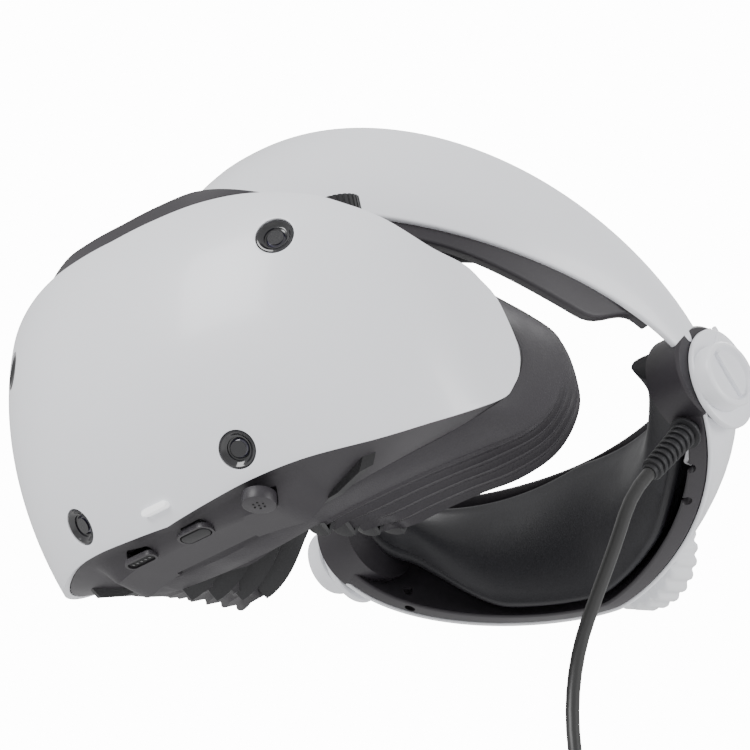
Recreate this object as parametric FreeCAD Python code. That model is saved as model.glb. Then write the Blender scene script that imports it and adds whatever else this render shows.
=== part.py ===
"""Tethered virtual-reality headset, as an assembly of separate pieces.

Millimetres. +X is the wearer's left, +Y is backwards, +Z is up. Everything is drawn
from the face datum, which is the middle of the light bar on the front shell, and is
moved at the end so that the origin is the middle of the wearer's head.
"""

import FreeCAD, Part
import math
import os

V = FreeCAD.Vector
X, Y, Z = V(1, 0, 0), V(0, 1, 0), V(0, 0, 1)
os.makedirs("parts", exist_ok=True)

# --- head and overall ---
HEAD_Y = 146.0            # head centre behind the face datum
HEAD_Z = 40.0             # head centre above the face datum
HEAD_HALF_W = 68.0        # half the width that the pads leave for the head

# --- visor ---
VISOR_HALF_W = 103.0      # half width of the front shell
VISOR_BOW = 75.0          # depth of the elliptical bow seen from above
VISOR_FRONT = -10.0       # foremost point of the front shell
VISOR_MID_Z = 45.0        # height of the foremost point
VISOR_LEAN_R = 100.0      # radius of the bow seen from the side
VISOR_TOP = 101.5         # top edge of the front shell
VISOR_WALL = 2.4          # wall of the front shell
HOUSING_GAP = 0.6         # front shell to housing
HOUSING_WALL = 4.0
HOUSING_TOP = 104.5
HOUSING_BOTTOM = -17.5
HOUSING_BACK = 58.0
CAVITY_FRONT = 34.0       # bulkhead behind the electronics
BULKHEAD = 3.0
BLOCK_BACK = 125.0        # construction blocks run back to here before they are trimmed

# --- tracking cameras: distance from the middle, height, tilt out and tilt up ---
CAM_UPPER = (69.4, 78.1, 33.5, 19.6)
CAM_LOWER = (41.1, 7.6, 17.4, -22.1)
CAM_R = 6.8
CAM_LENS_R = 3.6
CAM_DEPTH = 9.0
CAM_GAP = 0.3

# --- light bar ---
BAR_HALF = 6.2
BAR_H = 2.4

# --- optics ---
IPD = 64.0                # between the lens axes at rest
EYE_Z = 42.0
LENS_R = 22.0
LENS_T = 8.0
BARREL_WALL = 2.5
BARREL_LEN = 22.0
BARREL_BACK = 56.0        # eye end of the barrels
IPD_TRAVEL = 4.0          # each barrel moves this far either way
ROD_R = 1.5
ROD_FIT = 0.05            # radial clearance of every running fit
ROD_RISE = LENS_R + BARREL_WALL + 2.5     # guide rods above and below the lens axes
WHEEL_R = 9.0
WHEEL_T = 6.0
PINION_R = 4.0
WHEEL_X = 72.0
WHEEL_Y = 47.0

# --- buttons under and on the visor ---
BUTTON_Y = 12.0
MIC_X = -23.0
POWER_X = 5.5
FUNCTION_X = 38.0
BUTTON_GAP = 0.3
BUTTON_TRAVEL = 1.0

# --- scope slide ---
SLIDE_TRAVEL = 20.0
ARM_HALF_GAP = 24.0       # the two slide arms, each side of the middle
ARM_W = 12.0
ARM_T = 3.6

# --- front band ---
BAND_HALF_W = 95.0
BAND_WALL = 3.0
BAND_FRAME = 5.0
BAND_PAD = 9.0
LAYER_GAP = 0.3           # between the layers of the band and of the rear section

# --- rear section ---
REAR_HALF_W = 98.5
REAR_WALL = 3.0
REAR_FRAME = 6.0
END_Y, END_Z, END_R = 203.0, 26.0, 19.5   # round ends of the rear shell
CAP_R = 12.5
CAP_PROUD = 7.5
CAP_OUT = REAR_HALF_W + CAP_PROUD         # outer face of the side caps, half the overall width
TIGHTEN = 25.0            # how far the rear section slides back

# --- rear dial ---
DIAL_Y, DIAL_Z = 251.0, -4.0
DIAL_R = 22.5
DIAL_T = 13.0
SHAFT_R = 3.0
REAR_PINION_R = 6.0
RELEASE_R = 9.0
RELEASE_TRAVEL = 2.0

# --- cord ---
CORD_R = 2.5
EXIT = V(85.0, 193.0, 9.0)
RELIEF_END = V(83.6, 169.0, -7.5)
ROUTE = [
    RELIEF_END, V(82.95, 157.9, -15.13), V(82.8, 144.0, -34.0), V(82.4, 127.0, -55.0),
    V(82.0, 111.5, -74.5), V(82.0, 100.5, -96.0), V(82.0, 95.5, -118.0),
    V(82.0, 96.5, -134.0), V(82.0, 102.0, -146.5), V(82.0, 112.0, -154.0),
]
COIL_R = 32.5             # middle of the turns
COIL_W = 25.0             # across the bundle of turns
COIL_Y, COIL_Z = 113.0, -188.0
TAIL = [V(72.5, 145.5, -184.0), V(70.5, 145.5, -194.0), V(63.5, 145.5, -206.0),
        V(63.5, 145.5, -218.0)]
PLUG_L = 22.0
CONTACT_L = 6.6

# ---------------------------------------------------------------- helpers
def face_y(z):
    """Foremost line of the front shell at height z."""
    rise = (z - VISOR_MID_Z) / VISOR_LEAN_R
    return VISOR_FRONT + VISOR_LEAN_R * (1 - math.sqrt(1 - rise * rise))


def face_point(x, z, inset=0.0):
    a, b = VISOR_HALF_W, VISOR_BOW
    return V(x, face_y(z) + b * (1 - math.sqrt(1 - (x / a) ** 2)) + inset, z)


def tilt(azimuth, elevation):
    """Unit vector that faces forwards, turned out and up by two angles."""
    a, e = math.radians(azimuth), math.radians(elevation)
    return V(math.sin(a) * math.cos(e), -math.cos(a) * math.cos(e), math.sin(e))


def cyl(radius, length, base, axis):
    return Part.makeCylinder(radius, length, base, axis)


def box(x0, x1, y0, y1, z0, z1):
    return Part.makeBox(x1 - x0, y1 - y0, z1 - z0, V(x0, y0, z0))


def slab(points, axis, start, length):
    """Closed outline of (u, v) pairs pushed along X, Y or Z."""
    place = {"X": lambda u, v: V(start, u, v),
             "Y": lambda u, v: V(u, start, v),
             "Z": lambda u, v: V(u, v, start)}[axis]
    push = {"X": X, "Y": Y, "Z": Z}[axis] * length
    ring = [place(u, v) for u, v in points]
    return Part.Face(Part.makePolygon(ring + ring[:1])).extrude(push)


def spline_slab(points, axis, start, length):
    """The same with a smooth closed outline."""
    place = {"X": lambda u, v: V(start, u, v), "Y": lambda u, v: V(u, start, v)}[axis]
    push = {"X": X, "Y": Y}[axis] * length
    curve = Part.BSplineCurve()
    curve.interpolate([place(u, v) for u, v in points], PeriodicFlag=True)
    return Part.Face(Part.Wire(curve.toShape())).extrude(push)


def mirrored(shape):
    return shape.mirror(V(0, 0, 0), X)


def pair(shape):
    return [shape, mirrored(shape)]


def bow_block(inset, z0, z1, levels=7):
    """Solid behind the front shell's surface, moved in by inset, as far as BLOCK_BACK."""
    a, b = VISOR_HALF_W - inset, VISOR_BOW
    wires = []
    for i in range(levels):
        z = z0 + (z1 - z0) * i / (levels - 1)
        cy = face_y(z) + inset + b
        bow = Part.Ellipse(V(0, cy, z), a, b)
        front = Part.Arc(bow, math.pi, 2 * math.pi).toShape()
        ends = [V(a, cy, z), V(a, BLOCK_BACK, z), V(-a, BLOCK_BACK, z), V(-a, cy, z)]
        rest = [Part.makeLine(p, q) for p, q in zip(ends, ends[1:])]
        wires.append(Part.Wire([front] + rest))
    return Part.makeLoft(wires, True, False)


def strap(stations, low, high, layer, inset=0.0):
    """Loft along a strap. layer gives (outer, outer crown, inner, inner crown)."""
    wires = []
    for s in stations:
        lo, hi = low(s), high(s)
        across = (hi - lo).normalize()
        step = 0.01
        along = (low(s + step) + high(s + step)) - (low(s - step) + high(s - step))
        out = along.cross(across).normalize()
        if out.dot(V(lo.x, lo.y - HEAD_Y, 0)) < 0:
            out = out * -1
        lo, hi = lo + across * inset, hi - across * inset
        mid = (lo + hi) * 0.5
        outer, outer_crown, inner, inner_crown = layer(s)
        a, b = lo + out * outer, hi + out * outer
        c, d = hi + out * inner, lo + out * inner
        wires.append(Part.Wire([
            Part.Arc(a, mid + out * (outer + outer_crown), b).toShape(),
            Part.makeLine(b, c),
            Part.Arc(c, mid + out * (inner + inner_crown), d).toShape(),
            Part.makeLine(d, a)]))
    return Part.makeLoft(wires, True, False)


def spread(curve, count, end):
    """Station values at even distances along a curve, from -end to end."""
    fine = [end * (i / 300.0 - 1) for i in range(601)]
    reach, runs = 0.0, [0.0]
    for p, q in zip(fine, fine[1:]):
        reach += (curve(q) - curve(p)).Length
        runs.append(reach)
    picks = []
    for k in range(count):
        want = reach * k / (count - 1)
        j = min(range(601), key=lambda i: abs(runs[i] - want))
        picks.append(fine[j])
    return picks


def power(value, exponent):
    return math.copysign(abs(value) ** exponent, value)


def arc_between(start, end, sx, cx):
    """Curve round half the head: start at the tips, end in the middle."""
    def at(s):
        turn = s * math.pi / 2
        c, k = max(math.cos(turn), 1e-9), math.sin(turn)
        y = start[1] + (end[1] - start[1]) * c ** cx[0]
        z = start[2] + (end[2] - start[2]) * c ** cx[1]
        return V(start[0] * power(k, sx), y, z)
    return at


# ---------------------------------------------------------------- front band
band_low = arc_between((BAND_HALF_W, 196.4, 25.9), (0, 50.6, 106.5), 0.88, (1.16, 0.75))
band_high = arc_between((BAND_HALF_W, 204.2, 34.1), (0, 88.4, 142.0), 0.88, (0.88, 0.58))
BAND_END = 0.985
FRAME_END = 0.90
PAD_END = 0.60


def band_layer(outer, inner, crown=3.0):
    def at(s):
        fade = math.cos(s * math.pi / 2) ** 0.5 if abs(s) < 1 else 0.0
        return (outer, crown * fade, inner, crown * fade)
    return at


band_stations = spread(band_low, 19, BAND_END)
halo_shell = strap(band_stations, band_low, band_high, band_layer(0, -BAND_WALL))
FRAME_TOP = -BAND_WALL - LAYER_GAP
LINER_DROP = 8.0          # how far the liner and the pad hang below the band's edge


def liner_low(s):
    """Lower edge of the liner: it drops below the band between the brow and the temples."""
    near = min(max((0.78 - abs(s)) / 0.30, 0.0), 1.0)
    brow = min(abs(s) / 0.25, 1.0)
    drop = LINER_DROP * near * near * (3 - 2 * near) * (0.45 + 0.55 * brow * brow)
    return band_low(s) + (band_low(s) - band_high(s)).normalize() * drop


frame_stations = spread(band_low, 15, FRAME_END)
halo_frame = strap(frame_stations, liner_low, band_high,
                   band_layer(FRAME_TOP, FRAME_TOP - BAND_FRAME), 1.5)
halo_frame = max(halo_frame.cut(halo_shell).Solids, key=lambda s: s.Volume)
pad_top = FRAME_TOP - BAND_FRAME - LAYER_GAP
pad_stations = spread(band_low, 11, PAD_END)
forehead_pad = strap(pad_stations, liner_low, band_high,
                     lambda s: (pad_top, 3.0 * math.cos(s * math.pi / 2) ** 0.5,
                                pad_top - BAND_PAD, -4.0), 4.0)


TIGHTEN_ANGLE = 24.0      # the rear section slides back and down along this slope
slide_dir = V(0, math.cos(math.radians(TIGHTEN_ANGLE)), -math.sin(math.radians(TIGHTEN_ANGLE)))
RAIL_T, RAIL_H, RAIL_L = 1.6, 7.0, 40.0
RAIL_X = BAND_HALF_W - 18.5
RAIL_START = V(RAIL_X, 176.0, 41.5)
RAIL_ROOT = 7.0


def bar_along(start, width, height, length):
    """Bar of a given section that starts square at a point and runs along slide_dir."""
    bar = Part.makeBox(width, length, height, V(-width / 2, 0, -height / 2))
    bar.rotate(V(0, 0, 0), X, -TIGHTEN_ANGLE)
    bar.translate(start)
    return bar


rail_left = bar_along(RAIL_START, RAIL_T, RAIL_H, RAIL_L)
rail_left = rail_left.fuse(bar_along(RAIL_START + X * 8.0, 16.0, RAIL_H, RAIL_ROOT))
rail_left = rail_left.cut(halo_frame).cut(halo_shell)
rail_left = max(rail_left.Solids, key=lambda s: s.Volume)
rails = pair(rail_left)
RAIL_GAP = 0.35
rail_slots = pair(bar_along(RAIL_START - slide_dir * (TIGHTEN + 6), RAIL_T + 2 * RAIL_GAP,
                            RAIL_H + 2 * RAIL_GAP, RAIL_L + TIGHTEN + 7))

# Slide arms run forwards from the halo frame, over the housing, along Y.
ARM_Z = 105.4
ARM_FRONT, ARM_REAR = 22.0, 62.0
slide_arms = []
for side in (-1, 1):
    x = side * ARM_HALF_GAP
    arm = box(x - ARM_W / 2, x + ARM_W / 2, ARM_FRONT, ARM_REAR, ARM_Z, ARM_Z + ARM_T)
    arm = arm.cut(halo_frame).cut(halo_shell).cut(forehead_pad)
    slide_arms.append(max(arm.Solids, key=lambda s: s.Volume))

MOTOR_R, MOTOR_L = 2.0, 16.0
motor_mid = V(0, 71.3, 122.3)
haptic_motor = cyl(MOTOR_R, MOTOR_L, motor_mid - X * (MOTOR_L / 2), X)
halo_frame = halo_frame.cut(cyl(MOTOR_R + 0.05, MOTOR_L + 0.1, motor_mid - X * (MOTOR_L / 2 + 0.05), X))

# ---------------------------------------------------------------- visor
side_outline = [(-24.0, 50.0), (-22.0, 101.0), (8.0, VISOR_TOP), (27.0, 90.0), (61.0, 64.0),
                (86.0, 46.5), (91.5, 29.0), (78.0, 10.7), (48.0, 1.0), (14.0, -2.5),
                (-8.0, -7.5), (-20.0, -6.0)]
shell_block = bow_block(0, -10.0, VISOR_TOP + 2)
shell_core = bow_block(VISOR_WALL, -10.0, VISOR_TOP + 2)
shell_side = spline_slab(side_outline, "X", -VISOR_HALF_W - 2, 2 * VISOR_HALF_W + 4)
front_shell = shell_block.cut(shell_core).common(shell_side)


def camera_at(spec, side):
    x, z, out, up = spec
    axis = tilt(side * out, up)
    return face_point(side * x, z), axis


cameras = [camera_at(spec, side) for spec in (CAM_UPPER, CAM_LOWER) for side in (1, -1)]
for place, axis in cameras:
    front_shell = front_shell.cut(cyl(CAM_R + CAM_GAP, 20, place - axis * 10, axis))
bar_hole = box(-BAR_HALF - 0.2, BAR_HALF + 0.2, -20, 12, -BAR_H / 2 - 0.2, BAR_H / 2 + 0.2)
front_shell = front_shell.cut(bar_hole)

bezels, lenses, modules = [], [], []
for place, axis in cameras:
    ring = cyl(CAM_R, 3.2, place - axis * 2.6, axis).cut(cyl(CAM_LENS_R, 6, place - axis * 4, axis))
    bezels.append(ring.cut(Part.makeCone(CAM_LENS_R, CAM_R - 1, 1.6, place - axis * 0.99, axis)))
    lens = cyl(CAM_LENS_R - 0.1, 1.6, place - axis * 2.6, axis)
    lenses.append(lens)
    modules.append(cyl(CAM_R - 0.8, CAM_DEPTH - 4, place - axis * (CAM_DEPTH - 1.35), axis))

light_bar = box(-BAR_HALF, BAR_HALF, -0.3, 2.9, -BAR_H / 2, BAR_H / 2)
light_bar = light_bar.makeFillet(0.9, [e for e in light_bar.Edges if e.Length < 2.8])

# Housing: the dark body behind the shell, open at the back for the face.
housing_side = [(-12.0, 60.0), (-6.0, 99.0), (14.0, 103.6), (36.0, HOUSING_TOP),
                (46.0, 101.5), (HOUSING_BACK, 94.5), (HOUSING_BACK, HOUSING_BOTTOM), (30.0, HOUSING_BOTTOM), (3.0, -8.0), (-10.0, 0.0)]
half_outline = [(0.0, HOUSING_TOP), (30.0, 102.5), (VISOR_HALF_W - 41.0, 96.0),
                (VISOR_HALF_W - 17.0, 80.0), (VISOR_HALF_W - 6.0, 62.0),
                (VISOR_HALF_W - 2.5, 30.0), (VISOR_HALF_W - 9.0, 3.0),
                (VISOR_HALF_W - 25.0, -10.0), (VISOR_HALF_W - 45.0, -16.0),
                (30.0, HOUSING_BOTTOM)]
front_outline = half_outline + [(-x, z) for x, z in reversed(half_outline[1:])]
HOUSING_IN = VISOR_WALL + HOUSING_GAP
housing_block = bow_block(HOUSING_IN, -20.0, 108.0)
housing_shape = housing_block.common(
    slab(housing_side, "X", -VISOR_HALF_W - 7, 2 * VISOR_HALF_W + 14))
housing_shape = housing_shape.common(slab(front_outline, "Y", -30, 140))
inner_block = bow_block(HOUSING_IN + HOUSING_WALL, -20.0, 108.0)
inner_outline = [(x * 0.955, (z - EYE_Z) * 0.93 + EYE_Z) for x, z in front_outline]
inner_block = inner_block.common(slab(inner_outline, "Y", -30, 140))
housing = housing_shape.cut(inner_block)
# nose cut-out
NOSE_HALF_W, NOSE_FRONT, NOSE_H = 22.0, 26.0, 26.0
nose_outline = [(-NOSE_HALF_W, -30.0), (NOSE_HALF_W, -30.0), (NOSE_HALF_W - 4, -2.0), (12.0, 8.0),
                (-12.0, 8.0), (-NOSE_HALF_W + 4, -2.0)]
nose_cut = slab(nose_outline, "Y", NOSE_FRONT, 120)
housing = housing.cut(nose_cut)
for place, axis in cameras:
    housing = housing.cut(cyl(CAM_R + CAM_GAP, 24, place - axis * 14, axis))

# Split into a top cover and a lower housing on a flat joint line.
SPLIT_Z = 97.0
top_cover = housing.common(box(-VISOR_HALF_W, VISOR_HALF_W, -40, 140, SPLIT_Z + 0.05, 140))
housing = housing.common(box(-VISOR_HALF_W, VISOR_HALF_W, -40, 140, -60, SPLIT_Z))
top_cover = max(top_cover.Solids, key=lambda s: s.Volume)
housing = max(housing.Solids, key=lambda s: s.Volume)

# bulkhead that carries the boards and the optics
bulkhead = inner_block.common(box(-VISOR_HALF_W, VISOR_HALF_W, CAVITY_FRONT, CAVITY_FRONT + BULKHEAD, -20, 96.0))
bulkhead = bulkhead.cut(nose_cut.fuse(slab(nose_outline, "Y", NOSE_FRONT - 4, 4)))
BULK_FRONT, BULK_BACK = CAVITY_FRONT, CAVITY_FRONT + BULKHEAD

main_board = box(-50, 50, 24.0, 25.6, 18.0, 84.0)
heat_sink = box(-30, 30, 12.0, 23.9, 52.0, 80.0)
for i in range(9):
    x = -27.0 + 6.5 * i
    heat_sink = heat_sink.cut(box(x, x + 4.0, 10.0, 20.0, 51.0, 81.0))
FAN_Z, FAN_R = 33.0, 12.0
fan_frame = box(-15, 15, 12.0, 23.9, FAN_Z - 14.5, FAN_Z + 14.5)
fan_frame = fan_frame.cut(cyl(FAN_R + 0.6, 9.0, V(0, 11.0, FAN_Z), Y))
fan_frame = fan_frame.fuse(cyl(1.0, 6.0, V(0, 15.0, FAN_Z), Y))
fan_rotor = cyl(5.0, 6.0, V(0, 13.0, FAN_Z), Y)
for i in range(7):
    blade = box(4.0, FAN_R, 14.0, 18.0, FAN_Z - 0.6, FAN_Z + 0.6)
    fan_rotor = fan_rotor.fuse(blade.rotated(V(0, 0, FAN_Z), Y, i * 360.0 / 7))
fan_rotor = fan_rotor.cut(cyl(1.0 + ROD_FIT, 8.0, V(0, 12.0, FAN_Z), Y))

# ---------------------------------------------------------------- optics
rod_span = 2 * (IPD / 2 + LENS_R + IPD_TRAVEL + 9)
guide_rods = []
for rise in (-ROD_RISE, ROD_RISE):
    guide_rods.append(cyl(ROD_R, rod_span, V(-rod_span / 2, BULK_BACK + 6, EYE_Z + rise), X))
rod_brackets = []
for side in (-1, 1):
    for rise in (-ROD_RISE, ROD_RISE):
        x = side * (rod_span / 2 - 2.0)
        post = box(x - 2, x + 2, BULK_BACK, BULK_BACK + 10, EYE_Z + rise - 4, EYE_Z + rise + 4)
        rod_brackets.append(post.cut(cyl(ROD_R, 10, V(x - 5, BULK_BACK + 6, EYE_Z + rise), X)))


def barrel(side):
    x = side * IPD / 2
    y0 = BARREL_BACK - BARREL_LEN
    r = LENS_R + BARREL_WALL
    y0 = max(y0, BULK_BACK + 1.0)
    tube = cyl(r, BARREL_BACK - y0, V(x, y0, EYE_Z), Y)
    lugs = box(x - 8, x + 8, BULK_BACK + 2.5, BULK_BACK + 9.5, EYE_Z - ROD_RISE - 3.5,
               EYE_Z + ROD_RISE + 3.5)
    tube = tube.fuse(lugs).cut(cyl(LENS_R, 60, V(x, y0 - 5, EYE_Z), Y))
    for rise in (-ROD_RISE, ROD_RISE):
        tube = tube.cut(cyl(ROD_R + ROD_FIT, 40, V(x - 20, BULK_BACK + 6, EYE_Z + rise), X))
    return tube


def eye_lens(side):
    x = side * IPD / 2
    ball_r = 60.0
    disc = cyl(LENS_R - 0.05, LENS_T, V(x, BARREL_BACK - LENS_T - 1.5, EYE_Z), Y)
    return disc.common(Part.makeSphere(ball_r, V(x, BARREL_BACK - 1.5 - ball_r, EYE_Z)))


barrels = [barrel(1), barrel(-1)]
eye_lenses = [eye_lens(1), eye_lens(-1)]
displays, eye_rings = [], []
for side in (1, -1):
    x = side * IPD / 2
    front = BULK_BACK + 1.2
    displays.append(cyl(LENS_R - 0.05, 2.0, V(x, front, EYE_Z), Y))
    ring = cyl(LENS_R - 0.05, 1.4, V(x, BARREL_BACK - 1.45, EYE_Z), Y)
    eye_rings.append(ring.cut(cyl(LENS_R - 2.5, 4, V(x, BARREL_BACK - 3, EYE_Z), Y)))

# Lens wheel: thin knurled wheel on the top edge, with its pinion below.
WHEEL_Z = 89.0
wheel = cyl(WHEEL_R, WHEEL_T, V(WHEEL_X, WHEEL_Y, WHEEL_Z - WHEEL_T / 2), Z)
for i in range(28):
    a = 2 * math.pi * i / 28
    groove = V(WHEEL_X + WHEEL_R * math.cos(a), WHEEL_Y + WHEEL_R * math.sin(a),
               WHEEL_Z - WHEEL_T)
    wheel = wheel.cut(cyl(0.45, 2 * WHEEL_T, groove, Z))
wheel_well = cyl(WHEEL_R + 0.8, WHEEL_T + 1.2, V(WHEEL_X, WHEEL_Y, WHEEL_Z - WHEEL_T / 2 - 0.6), Z)
wheel_shaft_len = 20.0
lens_wheel = wheel.fuse(cyl(1.5, wheel_shaft_len, V(WHEEL_X, WHEEL_Y, WHEEL_Z - wheel_shaft_len), Z))
housing = housing.cut(wheel_well).cut(cyl(1.5 + ROD_FIT, 60, V(WHEEL_X, WHEEL_Y, 50), Z))
housing = max(housing.Solids, key=lambda s: s.Volume)
top_cover = top_cover.cut(wheel_well)
top_cover = max(top_cover.Solids, key=lambda s: s.Volume)


# ---------------------------------------------------------------- underside buttons
def underside(x):
    """Point on the sloping front part of the underside."""
    slope = (HOUSING_BOTTOM + 8.0) / (30.0 - 3.0)
    return V(x, BUTTON_Y, -8.0 + slope * (BUTTON_Y - 3.0))


DOWN = V(0, -math.sin(math.radians(19.4)), -math.cos(math.radians(19.4)))


def oval(x, half, radius, grow, depth, out):
    """Stadium-shaped plug square to the underside."""
    base = underside(x) - DOWN * depth
    tall = depth + out
    body = cyl(radius + grow, tall, base + X * half, DOWN)
    body = body.fuse(cyl(radius + grow, tall, base - X * half, DOWN))
    side = DOWN.cross(X).normalize() * (radius + grow)
    ring = [base + X * half + side, base - X * half + side, base - X * half - side,
            base + X * half - side]
    web = Part.Face(Part.makePolygon(ring + ring[:1])).extrude(DOWN * tall)
    return body.fuse(web).removeSplitter()


power_button = oval(POWER_X, 4.0, 2.6, 0, 5.0, 0.6)
mic_grille = oval(MIC_X, 4.5, 1.8, 0, 3.0, -0.2)
function_button = cyl(6.2, 3.6, underside(FUNCTION_X) - DOWN * 3.2, DOWN)
housing = housing.cut(oval(POWER_X, 4.0, 2.6, BUTTON_GAP, 9.0, 3.0))
housing = housing.cut(oval(MIC_X, 4.5, 1.8, 0.05, 3.1, 3.0))
housing = housing.cut(cyl(6.2 + BUTTON_GAP, 12.0, underside(FUNCTION_X) - DOWN * 9.0, DOWN))
housing = max(housing.Solids, key=lambda s: s.Volume)

# scope release on the wearer's right of the top
SCOPE_X, SCOPE_Y = -62.0, 46.0
release_pocket = box(SCOPE_X - 9.4, SCOPE_X + 9.4, SCOPE_Y - 6.4, SCOPE_Y + 6.4, 88.5, 120.0)
scope_release = box(SCOPE_X - 9, SCOPE_X + 9, SCOPE_Y - 6, SCOPE_Y + 6, 91.0, 98.0)
scope_release = scope_release.makeFillet(1.5, [e for e in scope_release.Edges
                                               if abs(e.Length - 7.0) < 0.01])
top_cover = max(top_cover.cut(release_pocket).Solids, key=lambda s: s.Volume)
housing = max(housing.cut(release_pocket).Solids, key=lambda s: s.Volume)

# ---------------------------------------------------------------- light shield
SHIELD_WALL = 7.0
SHIELD_BACK = 133.0
half_shield = [(0.0, 84.0), (VISOR_HALF_W - 47.0, 80.0), (VISOR_HALF_W - 25.0, 70.0),
               (VISOR_HALF_W - 13.0, 52.0), (VISOR_HALF_W - 11.0, 25.0),
               (VISOR_HALF_W - 17.0, 2.0), (VISOR_HALF_W - 29.0, -9.0),
               (VISOR_HALF_W - 48.0, -14.5)]
shield_outline = half_shield + [(-x, z) for x, z in reversed(half_shield[1:])]
shield_hole = [(x * 0.91, (z - EYE_Z) * 0.84 + EYE_Z) for x, z in shield_outline]
SHIELD_FRONT = HOUSING_BACK + 0.1
light_shield = slab(shield_outline, "Y", SHIELD_FRONT, SHIELD_BACK - SHIELD_FRONT)
light_shield = light_shield.cut(slab(shield_hole, "Y", 0, 200))
face_cut = cyl(HEAD_HALF_W + 12.0, 200, V(0, HEAD_Y - 5.0, -60), Z)
light_shield = light_shield.cut(face_cut.common(box(-79.5, 79.5, 0, 300, -60, 120)))
light_shield = light_shield.cut(nose_cut)
nose_flaps = []
for side in (-1, 1):
    teeth = [(40.0, -12.0)]
    for i in range(4):
        y = 42.0 + 9.0 * i
        teeth += [(y, -32.0 + i), (y + 5.0, -27.0 + i)]
    teeth += [(77.0, -14.0)]
    x = side * 18.5
    nose_flaps.append(slab(teeth, "X", min(x, x - side * 2.5), 2.5).common(
        box(-30, 30, 0, HOUSING_BACK - 0.1, -40, -13)))

# ---------------------------------------------------------------- rear section
rear_low = arc_between((REAR_HALF_W, 188.0, 30.0), (0, 237.4, -28.0), 1.333, (1.333, 0.8))
rear_high = arc_between((REAR_HALF_W, 206.0, 48.0), (0, 243.0, 30.0), 1.0, (1.2, 1.2))
REAR_END = 0.93
rear_stations = spread(rear_low, 19, REAR_END)


def rear_bulge(s):
    return 10.0 * max(math.cos(s * math.pi / 2), 0.0) ** 0.6 + 1.0


def rear_layer(outer, inner, grow=0.0):
    return lambda s: (outer, rear_bulge(s), inner, rear_bulge(s) - grow)


rear_shell = strap(rear_stations, rear_low, rear_high, rear_layer(0, -REAR_WALL))
for side in (-1, 1):
    x0 = REAR_HALF_W - REAR_WALL if side > 0 else -REAR_HALF_W
    rear_shell = rear_shell.fuse(cyl(END_R, REAR_WALL, V(x0, END_Y, END_Z), X))
FRAME_OUT = -REAR_WALL - LAYER_GAP
rear_frame = strap(spread(rear_low, 17, 0.90), rear_low, rear_high,
                   rear_layer(FRAME_OUT, FRAME_OUT - REAR_FRAME), 1.5)
rear_frame = rear_frame.cut(cyl(END_R + 0.2, 230, V(-115, END_Y, END_Z), X).common(
    box(-120, 120, 0, 400, -60, 120).cut(box(-REAR_HALF_W + REAR_WALL + 0.2, REAR_HALF_W - REAR_WALL - 0.2, -10, 410, -70, 130))))
PAD_OUT = FRAME_OUT - REAR_FRAME - LAYER_GAP


def rear_pad_layer(s):
    side = abs(math.sin(s * math.pi / 2)) ** 2
    return (PAD_OUT, rear_bulge(s), PAD_OUT - 3.0 - 3.0 * side, -5.0 - 6.0 * side)


rear_pad = strap(spread(rear_low, 15, 0.86), rear_low, rear_high, rear_pad_layer, 3.0)



# 3.5 mm socket on the wearer's left, ear-tip holders on both sides
mouth_dir = V(-0.25, -0.35, -0.9).normalize()
JACK_R, JACK_L, JACK_WALL = 1.8, 15.0, 1.3
TIP_R, TIP_L = 2.3, 5.0
jack_mouth = V(76.0, 203.5, 1.0)
tip_mouths = [V(-76.0, 206.5, -1.0), V(64.0, 211.0, -8.0)]

# side caps: plain round bosses with a dished face and a straight rib
side_caps = []
for side in (1, -1):
    x0 = side * (REAR_HALF_W + 0.05)
    length = CAP_OUT - REAR_HALF_W - 0.05
    cap = cyl(CAP_R, length, V(x0, END_Y - 2.0, END_Z - 1.0), X * side)
    dish = cyl(CAP_R - 3.0, 2.0, V(side * (CAP_OUT - 1.5), END_Y - 2.0, END_Z - 1.0), X * side)
    cap = cap.cut(dish)
    side_caps.append(cap)

# rear dial, its shaft and pinion, and the release in its middle
DIAL_GAP = 0.5
dial_face = DIAL_Y - 0.2
dial_pocket = cyl(DIAL_R + 1.0, 60, V(0, dial_face - DIAL_GAP, DIAL_Z), Y)
pinion_pocket = cyl(REAR_PINION_R + 1.5, 5.2, V(0, dial_face - 9.4, DIAL_Z), Y)
shaft_hole = cyl(SHAFT_R + ROD_FIT, 14.0, V(0, dial_face - 11.0, DIAL_Z), Y)
dial = cyl(DIAL_R, DIAL_T, V(0, dial_face, DIAL_Z), Y)
for i in range(24):
    a = 2 * math.pi * i / 24
    place = V((DIAL_R + 1.0) * math.cos(a), dial_face - 1, DIAL_Z + (DIAL_R + 1.0) * math.sin(a))
    dial = dial.cut(cyl(1.9, DIAL_T + 2, place, Y))
dial = dial.cut(cyl(RELEASE_R + 0.4, 7.0, V(0, dial_face + DIAL_T - 6.0, DIAL_Z), Y))
dial_shaft = cyl(SHAFT_R, 8.5, V(0, dial_face - 8.5, DIAL_Z), Y)
dial_pinion = cyl(REAR_PINION_R, 3.2, V(0, dial_face - 8.0, DIAL_Z), Y)
dial_pinion = dial_pinion.cut(cyl(SHAFT_R, 6, V(0, dial_face - 10, DIAL_Z), Y))
release_button = cyl(RELEASE_R, 4.0, V(0, dial_face + DIAL_T - 3.2, DIAL_Z), Y)
release_spring = cyl(4.0, 0.7, V(0, dial_face + DIAL_T - 6.0, DIAL_Z), Y)
release_spring = release_spring.cut(cyl(3.2, 4, V(0, dial_face + DIAL_T - 7, DIAL_Z), Y))

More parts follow.
